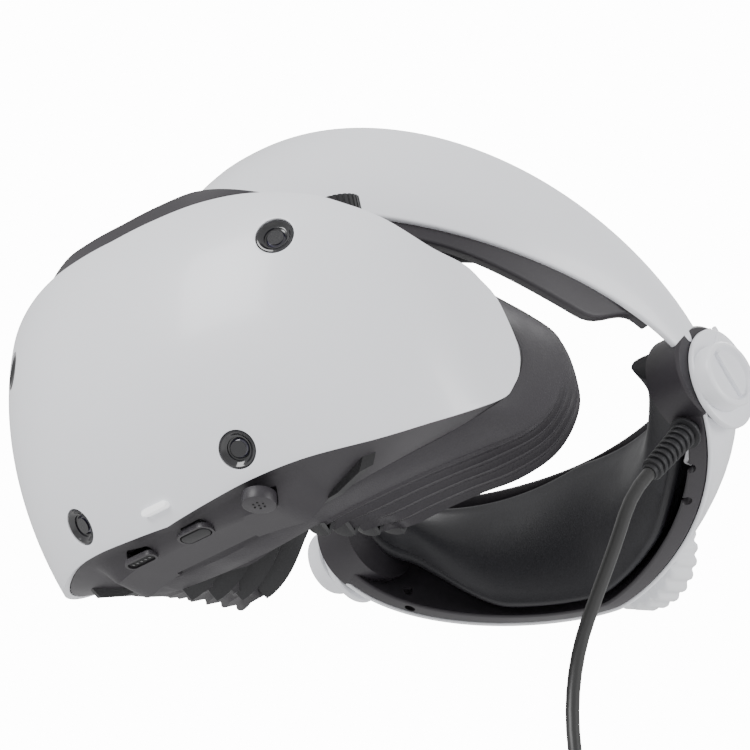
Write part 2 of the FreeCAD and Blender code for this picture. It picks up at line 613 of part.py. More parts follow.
# ---------------------------------------------------------------- scope slide guides
arm_guides = []
for side in (-1, 1):
    x = side * ARM_HALF_GAP
    guide = box(x - ARM_W / 2 - 1.8, x + ARM_W / 2 + 1.8, 40.0, 48.0, 103.0, ARM_Z + ARM_T + 1.6)
    guide = guide.cut(box(x - ARM_W / 2 - 0.3, x + ARM_W / 2 + 0.3, 30, 60, ARM_Z - 0.3,
                          ARM_Z + ARM_T + 0.3))
    arm_guides.append(max(guide.cut(top_cover).cut(housing).Solids, key=lambda s: s.Volume))


# ---------------------------------------------------------------- cord
def rounded_path(points):
    """Straight runs joined by arcs as large as the shorter run beside each corner allows."""
    edges, last, radii = [], points[0], []
    for before, corner, after in zip(points, points[1:], points[2:]):
        a, b = (before - corner), (after - corner)
        shorter = min(a.Length, b.Length)
        ua, ub = V(a).normalize(), V(b).normalize()
        half = (math.pi - ua.getAngle(ub)) / 2
        reach = 0.45 * shorter
        radii.append(reach / math.tan(half))
        start, end = corner + ua * reach, corner + ub * reach
        to_centre = (ua + ub).normalize()
        centre = corner + to_centre * (radii[-1] / math.cos(half))
        middle = centre - to_centre * radii[-1]
        edges.append(Part.LineSegment(last, start).toShape())
        edges.append(Part.Arc(start, middle, end).toShape())
        last = end
    edges.append(Part.LineSegment(last, points[-1]).toShape())
    return Part.Wire(edges), radii


def tube(points, radius, name):
    path, radii = rounded_path(points)
    along = points[1] - points[0]
    ring = Part.Wire(Part.makeCircle(radius, points[0], along))
    solid = path.makePipeShell([ring], True, False)
    section = math.pi * radius ** 2 * path.Length
    print(name, "length %.1f" % path.Length, "radii", [round(r, 1) for r in radii],
          "volume ratio %.4f" % (solid.Volume / section))
    return solid


cord_tube = tube(ROUTE, CORD_R, "cord")
cord_tail = tube(TAIL, CORD_R, "tail")

coil_centre = V(82.0, COIL_Y, COIL_Z)
coil = cyl(COIL_R + COIL_W / 2, COIL_W, coil_centre - X * (COIL_W / 2), X)
coil = coil.cut(cyl(COIL_R - COIL_W / 2, COIL_W + 2, coil_centre - X * (COIL_W / 2 + 1), X))
coil = coil.makeFillet(5.0, [e for e in coil.Edges if e.Closed])

TIE_WALL, TIE_W = 1.2, 8.0
tie_in, tie_out = COIL_R - COIL_W / 2 - 0.6, COIL_R + COIL_W / 2 + 0.6
tie = box(82 - COIL_W / 2 - 0.5 - TIE_WALL, 82 + COIL_W / 2 + 0.5 + TIE_WALL, COIL_Y - TIE_W / 2,
          COIL_Y + TIE_W / 2, COIL_Z + tie_in - TIE_WALL, COIL_Z + tie_out + TIE_WALL)
tie = tie.cut(box(82 - COIL_W / 2 - 0.5, 82 + COIL_W / 2 + 0.5, COIL_Y - TIE_W, COIL_Y + TIE_W,
                  COIL_Z + tie_in, COIL_Z + tie_out))
coil_tie = tie.rotated(coil_centre, X, -75)

# strain relief: tapered sleeve with ribs, and a shallow collar on the housing
relief_axis = (RELIEF_END - EXIT)
RELIEF_L = relief_axis.Length
relief_axis = relief_axis.normalize()
RIBS, RIB_PITCH, RIB_FIRST = 8, 3.3, 2.2
strain_relief = Part.makeCone(4.0, 3.0, RELIEF_L, EXIT, relief_axis)
for i in range(RIBS):
    place = RIB_FIRST + RIB_PITCH * i
    rib_r = 5.0 - 0.11 * i
    strain_relief = strain_relief.fuse(cyl(rib_r, 1.9, EXIT + relief_axis * place, relief_axis))

# connector: oval metal shell on a moulded body
plug_top = TAIL[-1]
plug_body = box(plug_top.x - 3.2, plug_top.x + 3.2, plug_top.y - 6.2, plug_top.y + 6.2,
                plug_top.z - PLUG_L, plug_top.z)
plug_body = plug_body.makeFillet(2.4, [e for e in plug_body.Edges if abs(e.Length - PLUG_L) < 0.01])
tip_z = plug_top.z - PLUG_L
PLUG_H, PLUG_W, PLUG_SKIN = 2.56, 8.34, 0.35


def oval_bar(w, h, length, z_top):
    half = (w - h) / 2
    bar = box(plug_top.x - h / 2, plug_top.x + h / 2, plug_top.y - half, plug_top.y + half,
              z_top - length, z_top)
    for end in (-half, half):
        bar = bar.fuse(cyl(h / 2, length, V(plug_top.x, plug_top.y + end, z_top - length), Z))
    return bar.removeSplitter()


plug_shell = oval_bar(PLUG_W, PLUG_H, CONTACT_L, tip_z)
plug_shell = plug_shell.cut(oval_bar(PLUG_W - 2 * PLUG_SKIN, PLUG_H - 2 * PLUG_SKIN, CONTACT_L,
                                     tip_z - 0.6))
plug_shell = plug_shell.fuse(box(plug_top.x - 0.35, plug_top.x + 0.35, plug_top.y - 3.3,
                                 plug_top.y + 3.3, tip_z - CONTACT_L + 1, tip_z - 0.4))

# ---------------------------------------------------------------- fits between the pieces
def biggest(shape):
    return max(shape.Solids, key=lambda s: s.Volume)


# black end blocks that close the round ends and carry the cord
end_blocks = []
for side in (1, -1):
    x0 = 74.0 if side > 0 else -(REAR_HALF_W - REAR_WALL - 0.1)
    length = REAR_HALF_W - REAR_WALL - 0.1 - 74.0
    end_blocks.append(cyl(END_R - 1.0, length, V(x0, END_Y, END_Z), X))
tip_pocket = [(150.0, 120.0), (212.0, 50.0), (212.0, 36.0), (203.0, 22.0), (192.0, 22.0),
              (150.0, 42.0)]
tip_pockets = pair(slab(tip_pocket, "X", 79.0, BAND_HALF_W + 1.1 - 79.0))

dial_hollow = dial_pocket.common(box(-60, 60, 200, 300, -60, 60))
rear_shell = rear_shell.cut(dial_hollow).cut(pinion_pocket).cut(shaft_hole)
rear_shell = biggest(rear_shell.cut(tip_pockets[0]).cut(tip_pockets[1]))
side_caps = [biggest(cap.cut(rear_shell)) for cap in side_caps]
rear_frame = rear_frame.cut(dial_hollow).cut(pinion_pocket).cut(shaft_hole)
for cutter in tip_pockets + rail_slots:
    rear_frame = rear_frame.cut(cutter)
    rear_pad = rear_pad.cut(cutter)
rear_pad = biggest(rear_pad)
for block in end_blocks:
    for cutter in tip_pockets + rail_slots + [rear_pad, rear_shell]:
        block = block.cut(cutter)
    rear_frame = rear_frame.fuse(biggest(block))

# racks: two toothed straps that lie in the rear frame above and below the pinion
def rack_edge(share):
    return lambda s: rear_low(s) + (rear_high(s) - rear_low(s)) * share


def rack(low_share, high_share, grow):
    mid = (low_share + high_share) / 2
    bow = 4 * mid * (1 - mid)      # how far the section bulges at this share of its height
    return strap(spread(rear_low, 11, 0.45), rack_edge(low_share), rack_edge(high_share),
                 lambda s: (-4.9 + bow * rear_bulge(s) + grow, 0.05,
                            -6.5 + bow * rear_bulge(s) - grow, 0.05), -grow)


rack_upper = rack(0.53, 0.62, 0.0)
rack_lower = rack(0.19, 0.28, 0.0)
rear_frame = rear_frame.cut(rack(0.53, 0.62, 0.15)).cut(rack(0.19, 0.28, 0.15))

RELIEF_ROOT = 4.0
root_at = EXIT - relief_axis * RELIEF_ROOT
strain_relief = strain_relief.fuse(cyl(4.0, RELIEF_ROOT, root_at, relief_axis))
relief_hole = cyl(4.05, RELIEF_ROOT + 0.1, root_at - relief_axis * 0.1, relief_axis)
relief_clear = cyl(5.6, RELIEF_L, EXIT, relief_axis)
jack_clear = cyl(JACK_R + JACK_WALL, JACK_L + 14.0, jack_mouth - mouth_dir * JACK_L, mouth_dir)
headphone_socket = cyl(JACK_R + JACK_WALL - 0.02, JACK_L, jack_mouth - mouth_dir * JACK_L, mouth_dir)
headphone_socket = headphone_socket.cut(cyl(JACK_R, JACK_L + 2,
                                            jack_mouth - mouth_dir * (JACK_L + 1), mouth_dir))
tip_clears = [cyl(TIP_R, TIP_L + 14.0, mouth - V(side * mouth_dir.x, mouth_dir.y, mouth_dir.z) * TIP_L,
                  V(side * mouth_dir.x, mouth_dir.y, mouth_dir.z))
              for mouth, side in zip(tip_mouths, (-1, 1))]
for cutter in [relief_hole, relief_clear, jack_clear] + tip_clears:
    rear_frame = rear_frame.cut(cutter)
    rear_pad = rear_pad.cut(cutter)
rear_shell = biggest(rear_shell.cut(relief_clear))
rear_frame, rear_pad = biggest(rear_frame.cut(rear_shell)), biggest(rear_pad)

# lens drive: pinion on the wheel's shaft, one rack on each barrel
RACK_Z0, RACK_T = EYE_Z + ROD_RISE + 5.0, 1.4
RACK_Z1 = RACK_Z0 + 4.0
lens_wheel = lens_wheel.fuse(cyl(PINION_R, 5.0, V(WHEEL_X, WHEEL_Y, RACK_Z0 - 0.5), Z))
lug_y1 = BULK_BACK + 9.5
rack_front = WHEEL_Y - PINION_R - 0.2 - RACK_T
rack_back = WHEEL_Y + PINION_R + 0.2
ipd_rack_left = box(IPD / 2 - 6, WHEEL_X + 3, rack_front, rack_front + RACK_T, RACK_Z0, RACK_Z1)
ipd_rack_left = ipd_rack_left.fuse(box(IPD / 2 - 6, IPD / 2 + 6, rack_front, rack_front + RACK_T,
                                       RACK_Z0 - 4, RACK_Z1))
ipd_rack_left = biggest(ipd_rack_left.cut(barrels[0]))
ipd_rack_right = box(-IPD / 2 - 6, WHEEL_X + 3, rack_back, rack_back + RACK_T, RACK_Z0, RACK_Z1)
ipd_rack_right = ipd_rack_right.fuse(box(-IPD / 2 - 6, -IPD / 2 + 6, lug_y1, rack_back + RACK_T,
                                         RACK_Z0 - 4, RACK_Z1))
ipd_rack_right = biggest(ipd_rack_right.cut(barrels[1]))

# screws
board_screws = []
for x in (-46.0, 46.0):
    for z in (22.0, 80.0):
        place = V(x, 22.8, z)
        board_screws.append(cyl(2.4, 1.1, place, Y).fuse(cyl(1.25, BULK_FRONT - 22.8, place, Y)))
        main_board = main_board.cut(cyl(1.25, 10, V(x, 20, z), Y))

front_shell = biggest(front_shell)
bulkhead = biggest(bulkhead.cut(housing))
forehead_pad = biggest(forehead_pad.cut(halo_frame))
light_shield = biggest(light_shield)
for flap in nose_flaps:
    light_shield = light_shield.cut(flap)

parts = {
    "halo_shell": halo_shell, "halo_frame": halo_frame, "forehead_pad": forehead_pad,
    "rail_left": rails[0], "rail_right": rails[1], "slide_arms": slide_arms,
    "haptic_motor": haptic_motor,
    "front_shell": front_shell, "visor_housing": housing, "top_cover": top_cover,
    "bulkhead": bulkhead, "camera_bezels": bezels, "camera_lenses": lenses,
    "camera_modules": modules, "light_bar": light_bar, "microphone_grille": mic_grille,
    "main_board": main_board, "board_screws": board_screws, "heat_sink": heat_sink,
    "fan_frame": fan_frame, "fan_rotor": fan_rotor, "guide_rods": guide_rods,
    "rod_brackets": rod_brackets, "arm_guides": arm_guides, "light_shield": light_shield,
    "nose_bellows": nose_flaps,
    "lens_barrel_left": barrels[0], "lens_barrel_right": barrels[1],
    "eye_lens_left": eye_lenses[0], "eye_lens_right": eye_lenses[1],
    "display_left": displays[0], "display_right": displays[1],
    "eye_ring_left": eye_rings[0], "eye_ring_right": eye_rings[1],
    "ipd_rack_left": ipd_rack_left, "ipd_rack_right": ipd_rack_right,
    "lens_wheel": lens_wheel,
    "power_button": power_button, "function_button": function_button,
    "scope_release": scope_release,
    "rear_shell": rear_shell, "rear_frame": rear_frame, "rear_pad": rear_pad,
    "side_cap_left": side_caps[0], "side_cap_right": side_caps[1],
    "rack_upper": rack_upper, "rack_lower": rack_lower, "headphone_socket": headphone_socket,
    "rear_dial": dial, "dial_shaft": dial_shaft, "dial_pinion": dial_pinion,
    "release_button": release_button, "release_spring": release_spring,
    "strain_relief": strain_relief, "cord": cord_tube, "cord_tail": cord_tail,
    "cord_coil": coil, "coil_tie": coil_tie, "plug_body": plug_body,
    "plug_contact": plug_shell,
}
to_head = V(0, -HEAD_Y, -HEAD_Z)
for node, solids in parts.items():
    pieces = solids if isinstance(solids, list) else [solids]
    singles = [one for piece in pieces for one in piece.Solids]
    shape = singles[0] if len(singles) == 1 else Part.makeCompound(singles)
    shape.translated(to_head).exportStep("parts/%s.step" % node)
print(len(parts), "nodes")
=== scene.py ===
"""Looks of a tethered headset, built round its packed CAD frame.

Shapes are worked out in millimetres from the light bar; at() takes them to metres in the row frame.
Left and right are the wearer's, +X is the wearer's left, and the visor looks along -Y.
"""

import math

import bmesh
import bpy
from mathutils import Matrix, Vector


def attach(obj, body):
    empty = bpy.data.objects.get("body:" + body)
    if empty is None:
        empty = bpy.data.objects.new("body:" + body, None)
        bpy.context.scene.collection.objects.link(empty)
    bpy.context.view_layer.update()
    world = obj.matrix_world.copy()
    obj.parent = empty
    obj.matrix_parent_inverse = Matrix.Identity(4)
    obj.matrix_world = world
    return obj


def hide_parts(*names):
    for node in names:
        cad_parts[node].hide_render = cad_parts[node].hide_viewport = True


bl_info = {
    "name": "Headset looks",
    "version": (1, 0, 0),
    "blender": (4, 5, 0),
    "location": "View3D > Sidebar > Headset",
    "description": "Builds the visible pieces of a tethered headset round its CAD frame",
    "category": "Object",
}

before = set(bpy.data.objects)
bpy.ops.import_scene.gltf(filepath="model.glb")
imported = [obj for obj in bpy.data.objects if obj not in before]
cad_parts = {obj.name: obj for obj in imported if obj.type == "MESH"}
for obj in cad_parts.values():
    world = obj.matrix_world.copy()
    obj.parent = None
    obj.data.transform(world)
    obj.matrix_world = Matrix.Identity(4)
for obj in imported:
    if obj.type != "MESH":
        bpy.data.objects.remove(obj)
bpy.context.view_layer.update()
MM = 0.001
WELD = 2e-6
TINY_EDGE = 0.01
HEAD_Y, HEAD_Z = 146.0, 40.0
MID_Z = 42.0
SIDES = ((1, "left"), (-1, "right"))
VISOR_HALF_W, VISOR_BOW, VISOR_FRONT, VISOR_MID_Z, VISOR_LEAN = 103.0, 75.0, -10.0, 45.0, 100.0
# Tracking cameras as (x, z, outward tilt, upward tilt) in millimetres and degrees.
CAMERAS = [(s * x, z, s * out, up) for x, z, out, up in
           ((69.4, 78.1, 33.5, 19.6), (41.1, 7.6, 17.4, -22.1)) for s in (1, -1)]


# ------------------------------------------------------------------ points and curves
def at(x, y, z):
    """A point given in millimetres from the light bar, in the row frame."""
    return Vector((x, y - HEAD_Y, z - HEAD_Z)) * MM


def power(value, exponent):
    """Power that keeps the sign of its base."""
    return math.copysign(abs(value) ** exponent, value)


def smooth(t):
    """Eases from 0 to 1 while t goes from 0 to 1."""
    t = min(max(t, 0.0), 1.0)
    return t * t * (3 - 2 * t)


def oval(half_u, half_v, count):
    return [(half_u * math.cos(2 * math.pi * k / count), half_v * math.sin(2 * math.pi * k / count))
            for k in range(count)]


SPAN_STEPS = 24


def even(points, count, closed=False):
    """Points at even distances along a smooth curve through the given ones."""
    pts = [Vector(p) for p in points]
    n = len(pts)
    spans = n if closed else n - 1
    fine = []
    for i in range(spans):
        if closed:
            a, b, c, d = (pts[(i + k) % n] for k in (-1, 0, 1, 2))
        else:
            b, c = pts[i], pts[i + 1]
            a = pts[i - 1] if i else b * 2 - c
            d = pts[i + 2] if i + 2 < n else c * 2 - b
        for k in range(SPAN_STEPS):
            t = k / SPAN_STEPS
            fine.append(((b * 2) + (c - a) * t + (a * 2 - b * 5 + c * 4 - d) * t * t
                         + (b * 3 - a - c * 3 + d) * t ** 3) / 2)
    fine.append(pts[0].copy() if closed else pts[-1].copy())
    runs = [0.0]
    for p, q in zip(fine, fine[1:]):
        runs.append(runs[-1] + (q - p).length)
    last = count if closed else count - 1
    out, j = [], 0
    for k in range(count):
        want = runs[-1] * k / last
        while j < len(runs) - 2 and runs[j + 1] < want:
            j += 1
        t = (want - runs[j]) / max(runs[j + 1] - runs[j], 1e-12)
        out.append(fine[j].lerp(fine[j + 1], min(max(t, 0.0), 1.0)))
    return out


# ------------------------------------------------------------------ meshes
def linked(name, data):
    obj = bpy.data.objects.new(name, data)
    bpy.context.scene.collection.objects.link(obj)
    return obj


def mesh_piece(name, verts, faces, material, body=None, sharp=38.0):
    """Mesh object in one material; with a body it rides on it and takes a slot of the frame."""
    mesh = bpy.data.meshes.new(name)
    mesh.from_pydata([tuple(v) for v in verts], [], faces)
    mesh.validate()
    bm = bmesh.new()
    bm.from_mesh(mesh)
    bmesh.ops.remove_doubles(bm, verts=bm.verts, dist=WELD)
    bmesh.ops.recalc_face_normals(bm, faces=bm.faces)
    bm.to_mesh(mesh)
    bm.free()
    obj = linked(name, mesh)
    dress(obj, material, sharp)
    if body:
        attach(obj, body)
    return obj


def dress(obj, material, sharp=38.0):
    obj.data.materials.clear()
    obj.data.materials.append(look(material))
    for p in obj.data.polygons:
        p.use_smooth = True
        p.material_index = 0
    obj.data.set_sharp_from_angle(angle=math.radians(sharp))


def rings(rows, closed_row=True, closed_run=False, cap=False):
    """Faces over rows of points with the same count."""
    n = len(rows[0])
    verts = [p for row in rows for p in row]
    faces = []
    last = len(rows) if closed_run else len(rows) - 1
    for i in range(last):
        a, b = i * n, ((i + 1) % len(rows)) * n
        for j in range(n if closed_row else n - 1):
            k = (j + 1) % n
            faces.append((a + j, a + k, b + k, b + j))
    if cap:
        faces.append(tuple(range(n)))
        faces.append(tuple((len(rows) - 1) * n + j for j in reversed(range(n))))
    return verts, faces


def across(direction):
    """A direction and two more at right angles to it."""
    d = Vector(direction).normalized()
    side = d.cross(Vector((0, 0, 1)) if abs(d.z) < 0.9 else Vector((1, 0, 0))).normalized()
    return d, side, d.cross(side).normalized()


def turned(name, profile, base, direction, material, body, steps=64, ripple=None,
           sharp=38.0):
    """Round piece: profile is (radius, height) in millimetres along a direction."""
    d, u, v = across(direction)
    rows = []
    for r, h in profile:
        row = []
        for k in range(steps):
            a = 2 * math.pi * k / steps
            rr = r + (ripple(r, h, a) if ripple else 0.0)
            row.append(base + (u * math.cos(a) + v * math.sin(a)) * rr * MM + d * h * MM)
        rows.append(row)
    verts, faces = rings(rows, True, False, True)
    return mesh_piece(name, verts, faces, material, body, sharp)


def pushed(name, outline, base, u, v, depth, material, body, edge=0.5):
    """Closed outline in the (u, v) plane, pushed along their cross product, edges rounded."""
    w = Vector(u).cross(Vector(v)).normalized()
    cx = sum(p[0] for p in outline) / len(outline)
    cy = sum(p[1] for p in outline) / len(outline)
    rows = []
    for k, h in ((edge, 0.0), (edge * 0.3, edge * 0.3), (0.0, edge), (0.0, depth - edge),
                 (edge * 0.3, depth - edge * 0.3), (edge, depth)):
        row = []
        for x, y in outline:
            r = math.hypot(x - cx, y - cy)
            f = (r - k) / r if r > 1e-9 else 1.0
            row.append(base + (Vector(u) * (cx + (x - cx) * f) + Vector(v) * (cy + (y - cy) * f)
                               + w * h) * MM)
        rows.append(row)
    verts, faces = rings(rows, True, False, True)
    return mesh_piece(name, verts, faces, material, body, 38)


def oval_outline(half, radius, steps=16):
    """Slot shape: two half circles joined by straights, half the straight on each side."""
    pts = []
    for k in range(steps + 1):
        a = -math.pi / 2 + math.pi * k / steps
        pts.append((half + radius * math.cos(a), radius * math.sin(a)))
    for k in range(steps + 1):
        a = math.pi / 2 + math.pi * k / steps
        pts.append((-half + radius * math.cos(a), radius * math.sin(a)))
    return pts


def cut(obj, cutters):
    """Takes the cutters out of obj for good and removes them."""
    for c in cutters:
        m = obj.modifiers.new("cut", "BOOLEAN")
        m.operation, m.object, m.solver = "DIFFERENCE", c, "EXACT"
    settle(obj)
    for c in cutters:
        bpy.data.objects.remove(c)


def settle(obj):
    """Makes the object's modifiers part of its mesh."""
    bpy.context.view_layer.update()
    done = bpy.data.meshes.new_from_object(obj.evaluated_get(bpy.context.evaluated_depsgraph_get()))
    obj.modifiers.clear()
    obj.data = done


def rounded(obj, width, segments, angle):
    """Bevels the edges that are sharper than an angle in degrees."""
    m = obj.modifiers.new("edge", "BEVEL")
    m.width, m.segments, m.limit_method = width * MM, segments, "ANGLE"
    m.angle_limit = math.radians(angle)
    m.use_clamp_overlap = True
    settle(obj)


# ------------------------------------------------------------------ materials
def socket(group, name, kind, default, way="INPUT"):
    s = group.interface.new_socket(name, in_out=way, socket_type=kind)
    if default is not None:
        s.default_value = default
    return s


def surface_group(name, style):
    """Colour drift, roughness drift and a fine raised texture, for one family of finishes."""
    if name in bpy.data.node_groups:
        return bpy.data.node_groups[name]
    g = bpy.data.node_groups.new(name, "ShaderNodeTree")
    for label, default in (("Light Colour", (0.8, 0.8, 0.8, 1)), ("Dark Colour", (0.7, 0.7, 0.7, 1))):
        socket(g, label, "NodeSocketColor", default)
    for label, default in (("Drift Scale", 25.0), ("Grain Scale", 900.0), ("Grain Depth", 0.1),
                           ("Smoothest", 0.3), ("Roughest", 0.4)):
        socket(g, label, "NodeSocketFloat", default)
    socket(g, "Base Color", "NodeSocketColor", None, "OUTPUT")
    socket(g, "Roughness", "NodeSocketFloat", None, "OUTPUT")
    socket(g, "Normal", "NodeSocketVector", None, "OUTPUT")
    n, link = g.nodes, g.links.new
    ins, outs = n.new("NodeGroupInput"), n.new("NodeGroupOutput")
    where = n.new("ShaderNodeTexCoord")
    place = where.outputs["Object"]
    if style == "brushed":
        stretch = n.new("ShaderNodeMapping")
        stretch.inputs["Scale"].default_value = (1, 0.05, 1)
        link(place, stretch.inputs["Vector"])
        place = stretch.outputs["Vector"]
    drift = n.new("ShaderNodeTexNoise")
    drift.inputs["Detail"].default_value = 3
    link(place, drift.inputs["Vector"])
    link(ins.outputs["Drift Scale"], drift.inputs["Scale"])
    mix = n.new("ShaderNodeMix")
    mix.data_type = "RGBA"
    link(drift.outputs["Fac"], mix.inputs["Factor"])
    link(ins.outputs["Dark Colour"], mix.inputs["A"])
    link(ins.outputs["Light Colour"], mix.inputs["B"])
    if style in ("grain", "leather"):
        grain = n.new("ShaderNodeTexVoronoi")
        grain.feature = "SMOOTH_F1" if style == "grain" else "DISTANCE_TO_EDGE"
        height = grain.outputs["Distance"]
    elif style == "weave":
        grain = n.new("ShaderNodeTexWave")
        grain.inputs["Distortion"].default_value = 1.5
        height = grain.outputs["Fac"]
    else:
        grain = n.new("ShaderNodeTexNoise")
        grain.inputs["Detail"].default_value = 2
        height = grain.outputs["Fac"]
    link(place, grain.inputs["Vector"])
    link(ins.outputs["Grain Scale"], grain.inputs["Scale"])
    rough = n.new("ShaderNodeMapRange")
    rough.inputs["From Min"].default_value = 0.3
    rough.inputs["From Max"].default_value = 0.7
    link(drift.outputs["Fac"], rough.inputs["Value"])
    link(ins.outputs["Smoothest"], rough.inputs["To Min"])
    link(ins.outputs["Roughest"], rough.inputs["To Max"])
    bump = n.new("ShaderNodeBump")
    bump.inputs["Distance"].default_value = 0.0004
    link(ins.outputs["Grain Depth"], bump.inputs["Strength"])
    link(height, bump.inputs["Height"])
    link(mix.outputs["Result"], outs.inputs["Base Color"])
    link(rough.outputs["Result"], outs.inputs["Roughness"])
    link(bump.outputs["Normal"], outs.inputs["Normal"])
    return g


# style, light and dark colour; then drift, grain scale, grain depth, roughness from and to,
# metallic and coat; then the material slot of the frame
LOOKS = {
    "white_shell": ("moulded", (0.8, 0.81, 0.84), (0.77, 0.78, 0.81),
        18, 2400, 0.025, 0.3, 0.36, 0, 0.25, "white_plastic"),
    "pale_dial": ("moulded", (0.8, 0.82, 0.84), (0.74, 0.76, 0.79),
        60, 1800, 0.03, 0.28, 0.38, 0, 0.3, "pale_dial"),
    "charcoal": ("moulded", (0.026, 0.023, 0.028), (0.021, 0.019, 0.023),
        30, 1900, 0.06, 0.4, 0.5, 0, 0.0, "black_plastic"),
    "inner_black": ("moulded", (0.012, 0.012, 0.014), (0.009, 0.009, 0.01),
        40, 1700, 0.08, 0.45, 0.6, 0, 0.0, "black_plastic"),
    "shield_rubber": ("grain", (0.024, 0.021, 0.026), (0.015, 0.013, 0.017),
        45, 1500, 0.22, 0.5, 0.66, 0, 0.0, "black_rubber"),
    "plain_rubber": ("moulded", (0.012, 0.012, 0.014), (0.008, 0.008, 0.01),
        50, 1500, 0.08, 0.48, 0.62, 0, 0.0, "black_rubber"),
    "pad_skin": ("leather", (0.014, 0.014, 0.018), (0.01, 0.01, 0.013),
        55, 1300, 0.16, 0.42, 0.56, 0, 0.0, "soft_pad"),
    "gloss_black": ("moulded", (0.012, 0.012, 0.014), (0.008, 0.008, 0.01),
        60, 2500, 0.01, 0.08, 0.14, 0, 0.6, "black_gloss"),
    # Camera lens glass: really dark, with a painted purple-blue reflection in its base colour.
    "tinted_glass": ("moulded", (0.02, 0.016, 0.05), (0.008, 0.007, 0.02),
        300, 2500, 0.0, 0.03, 0.07, 0, 1.0, "lens_glass"),
    "eye_glass": ("moulded", (0.1, 0.11, 0.12), (0.07, 0.08, 0.09),
        90, 4000, 0.04, 0.04, 0.09, 0, 1.0, "lens_glass"),
    "cord_sheath": ("moulded", (0.01, 0.01, 0.011), (0.007, 0.007, 0.008),
        70, 1600, 0.08, 0.4, 0.54, 0, 0.0, "cord_sheath"),
    "tie_fabric": ("weave", (0.03, 0.03, 0.032), (0.018, 0.018, 0.02),
        80, 420, 0.5, 0.75, 0.9, 0, 0.0, "soft_pad"),
    "light_window": ("moulded", (0.93, 0.94, 0.95), (0.9, 0.91, 0.93),
        90, 1500, 0.02, 0.3, 0.4, 0, 0.2, "light_bar"),
    "board": ("moulded", (0.02, 0.09, 0.045), (0.012, 0.055, 0.03),
        140, 700, 0.15, 0.35, 0.5, 0, 0.2, "circuit_board"),
    "steel": ("brushed", (0.62, 0.62, 0.63), (0.5, 0.5, 0.52),
        240, 1800, 0.05, 0.22, 0.36, 1, 0.0, "steel"),
    "aluminium": ("brushed", (0.75, 0.76, 0.77), (0.63, 0.64, 0.66),
        200, 1500, 0.07, 0.3, 0.45, 1, 0.0, "aluminium"),
    "pale_seam": ("moulded", (0.42, 0.43, 0.45), (0.36, 0.37, 0.39),
        60, 1500, 0.04, 0.4, 0.5, 0, 0.0, "white_plastic"),
    "hollow": ("moulded", (0.006, 0.006, 0.007), (0.004, 0.004, 0.005),
        60, 1500, 0.04, 0.6, 0.8, 0, 0.0, "black_plastic"),
}
TINTS = {"white_shell": "shell_colour", "charcoal": "body_colour", "pad_skin": "pad_colour",
         "pale_dial": "dial_colour"}


def look(name):
    """The material of that name, made on first use."""
    if name in bpy.data.materials:
        return bpy.data.materials[name]
    style, light, dark, drift, scale, depth, low, high, metal, coat, _ = LOOKS[name]
    if name in TINTS:
        light = tuple(getattr(bpy.context.scene.headset_colours, TINTS[name]))
        dark = tuple(c * 0.96 if sum(light) > 1 else c * 0.8 for c in light)
    m = bpy.data.materials.new(name)
    m.use_nodes = True
    n, link = m.node_tree.nodes, m.node_tree.links.new
    shader = n["Principled BSDF"]
    g = n.new("ShaderNodeGroup")
    g.node_tree = surface_group(style.capitalize() + " surface", style)
    g.inputs["Light Colour"].default_value = (*light, 1)
    g.inputs["Dark Colour"].default_value = (*dark, 1)
    g.inputs["Drift Scale"].default_value = drift
    g.inputs["Grain Scale"].default_value = scale
    g.inputs["Grain Depth"].default_value = depth
    g.inputs["Smoothest"].default_value = low
    g.inputs["Roughest"].default_value = high
    link(g.outputs["Base Color"], shader.inputs["Base Color"])
    link(g.outputs["Roughness"], shader.inputs["Roughness"])
    link(g.outputs["Normal"], shader.inputs["Normal"])
    shader.inputs["Metallic"].default_value = metal
    shader.inputs["Coat Weight"].default_value = coat
    shader.inputs["Coat Roughness"].default_value = 0.12
    if name == "light_window":
        shader.inputs["Emission Color"].default_value = (1, 1, 1, 1)
        shader.inputs["Emission Strength"].default_value = (
            bpy.context.scene.headset_colours.bar_glow)
    return m


# ------------------------------------------------------------------ the front shell's surface
def face_y(z):
    """How far back the shell's middle line lies at height z."""
    rise = (z - VISOR_MID_Z) / VISOR_LEAN
    return VISOR_FRONT + VISOR_LEAN * (1 - math.sqrt(1 - rise * rise))


def bow_lengths(steps):
    """Path length along the bow, a quarter ellipse, at even steps of its angle."""
    runs = [0.0]
    for i in range(steps):
        turn = math.pi / 2 * (i + 0.5) / steps
        runs.append(runs[-1] + math.hypot(VISOR_HALF_W * math.cos(turn), VISOR_BOW * math.sin(turn))
                    * math.pi / 2 / steps)
    return runs


BOW_STEPS = 180
BOW_RUN = bow_lengths(BOW_STEPS)
BOW_END = BOW_RUN[-1]


def shell_at(a, z):
    """Point of the front shell at path length a from the middle, height z."""
    side, a = math.copysign(1, a), abs(a)
    if a >= BOW_END:
        return Vector((side * VISOR_HALF_W, face_y(z) + VISOR_BOW + a - BOW_END, z))
    low, high = 0, BOW_STEPS
    while high - low > 1:
        mid = (low + high) // 2
        low, high = (mid, high) if BOW_RUN[mid] <= a else (low, mid)
    turn = math.pi / 2 * (low + (a - BOW_RUN[low]) / (BOW_RUN[high] - BOW_RUN[low])) / BOW_STEPS
    return Vector((side * VISOR_HALF_W * math.sin(turn),
                   face_y(z) + VISOR_BOW * (1 - math.cos(turn)), z))


def shell_in(a, z, inset):
    """The same, moved in along the surface's normal."""
    u = shell_at(a + 0.4, z) - shell_at(a - 0.4, z)
    v = shell_at(a, z + 0.4) - shell_at(a, z - 0.4)
    n = u.cross(v).normalized()
    if n.y > 0 or (abs(n.y) < 0.05 and n.x * a < 0):
        n = -n
    return shell_at(a, z) - n * inset


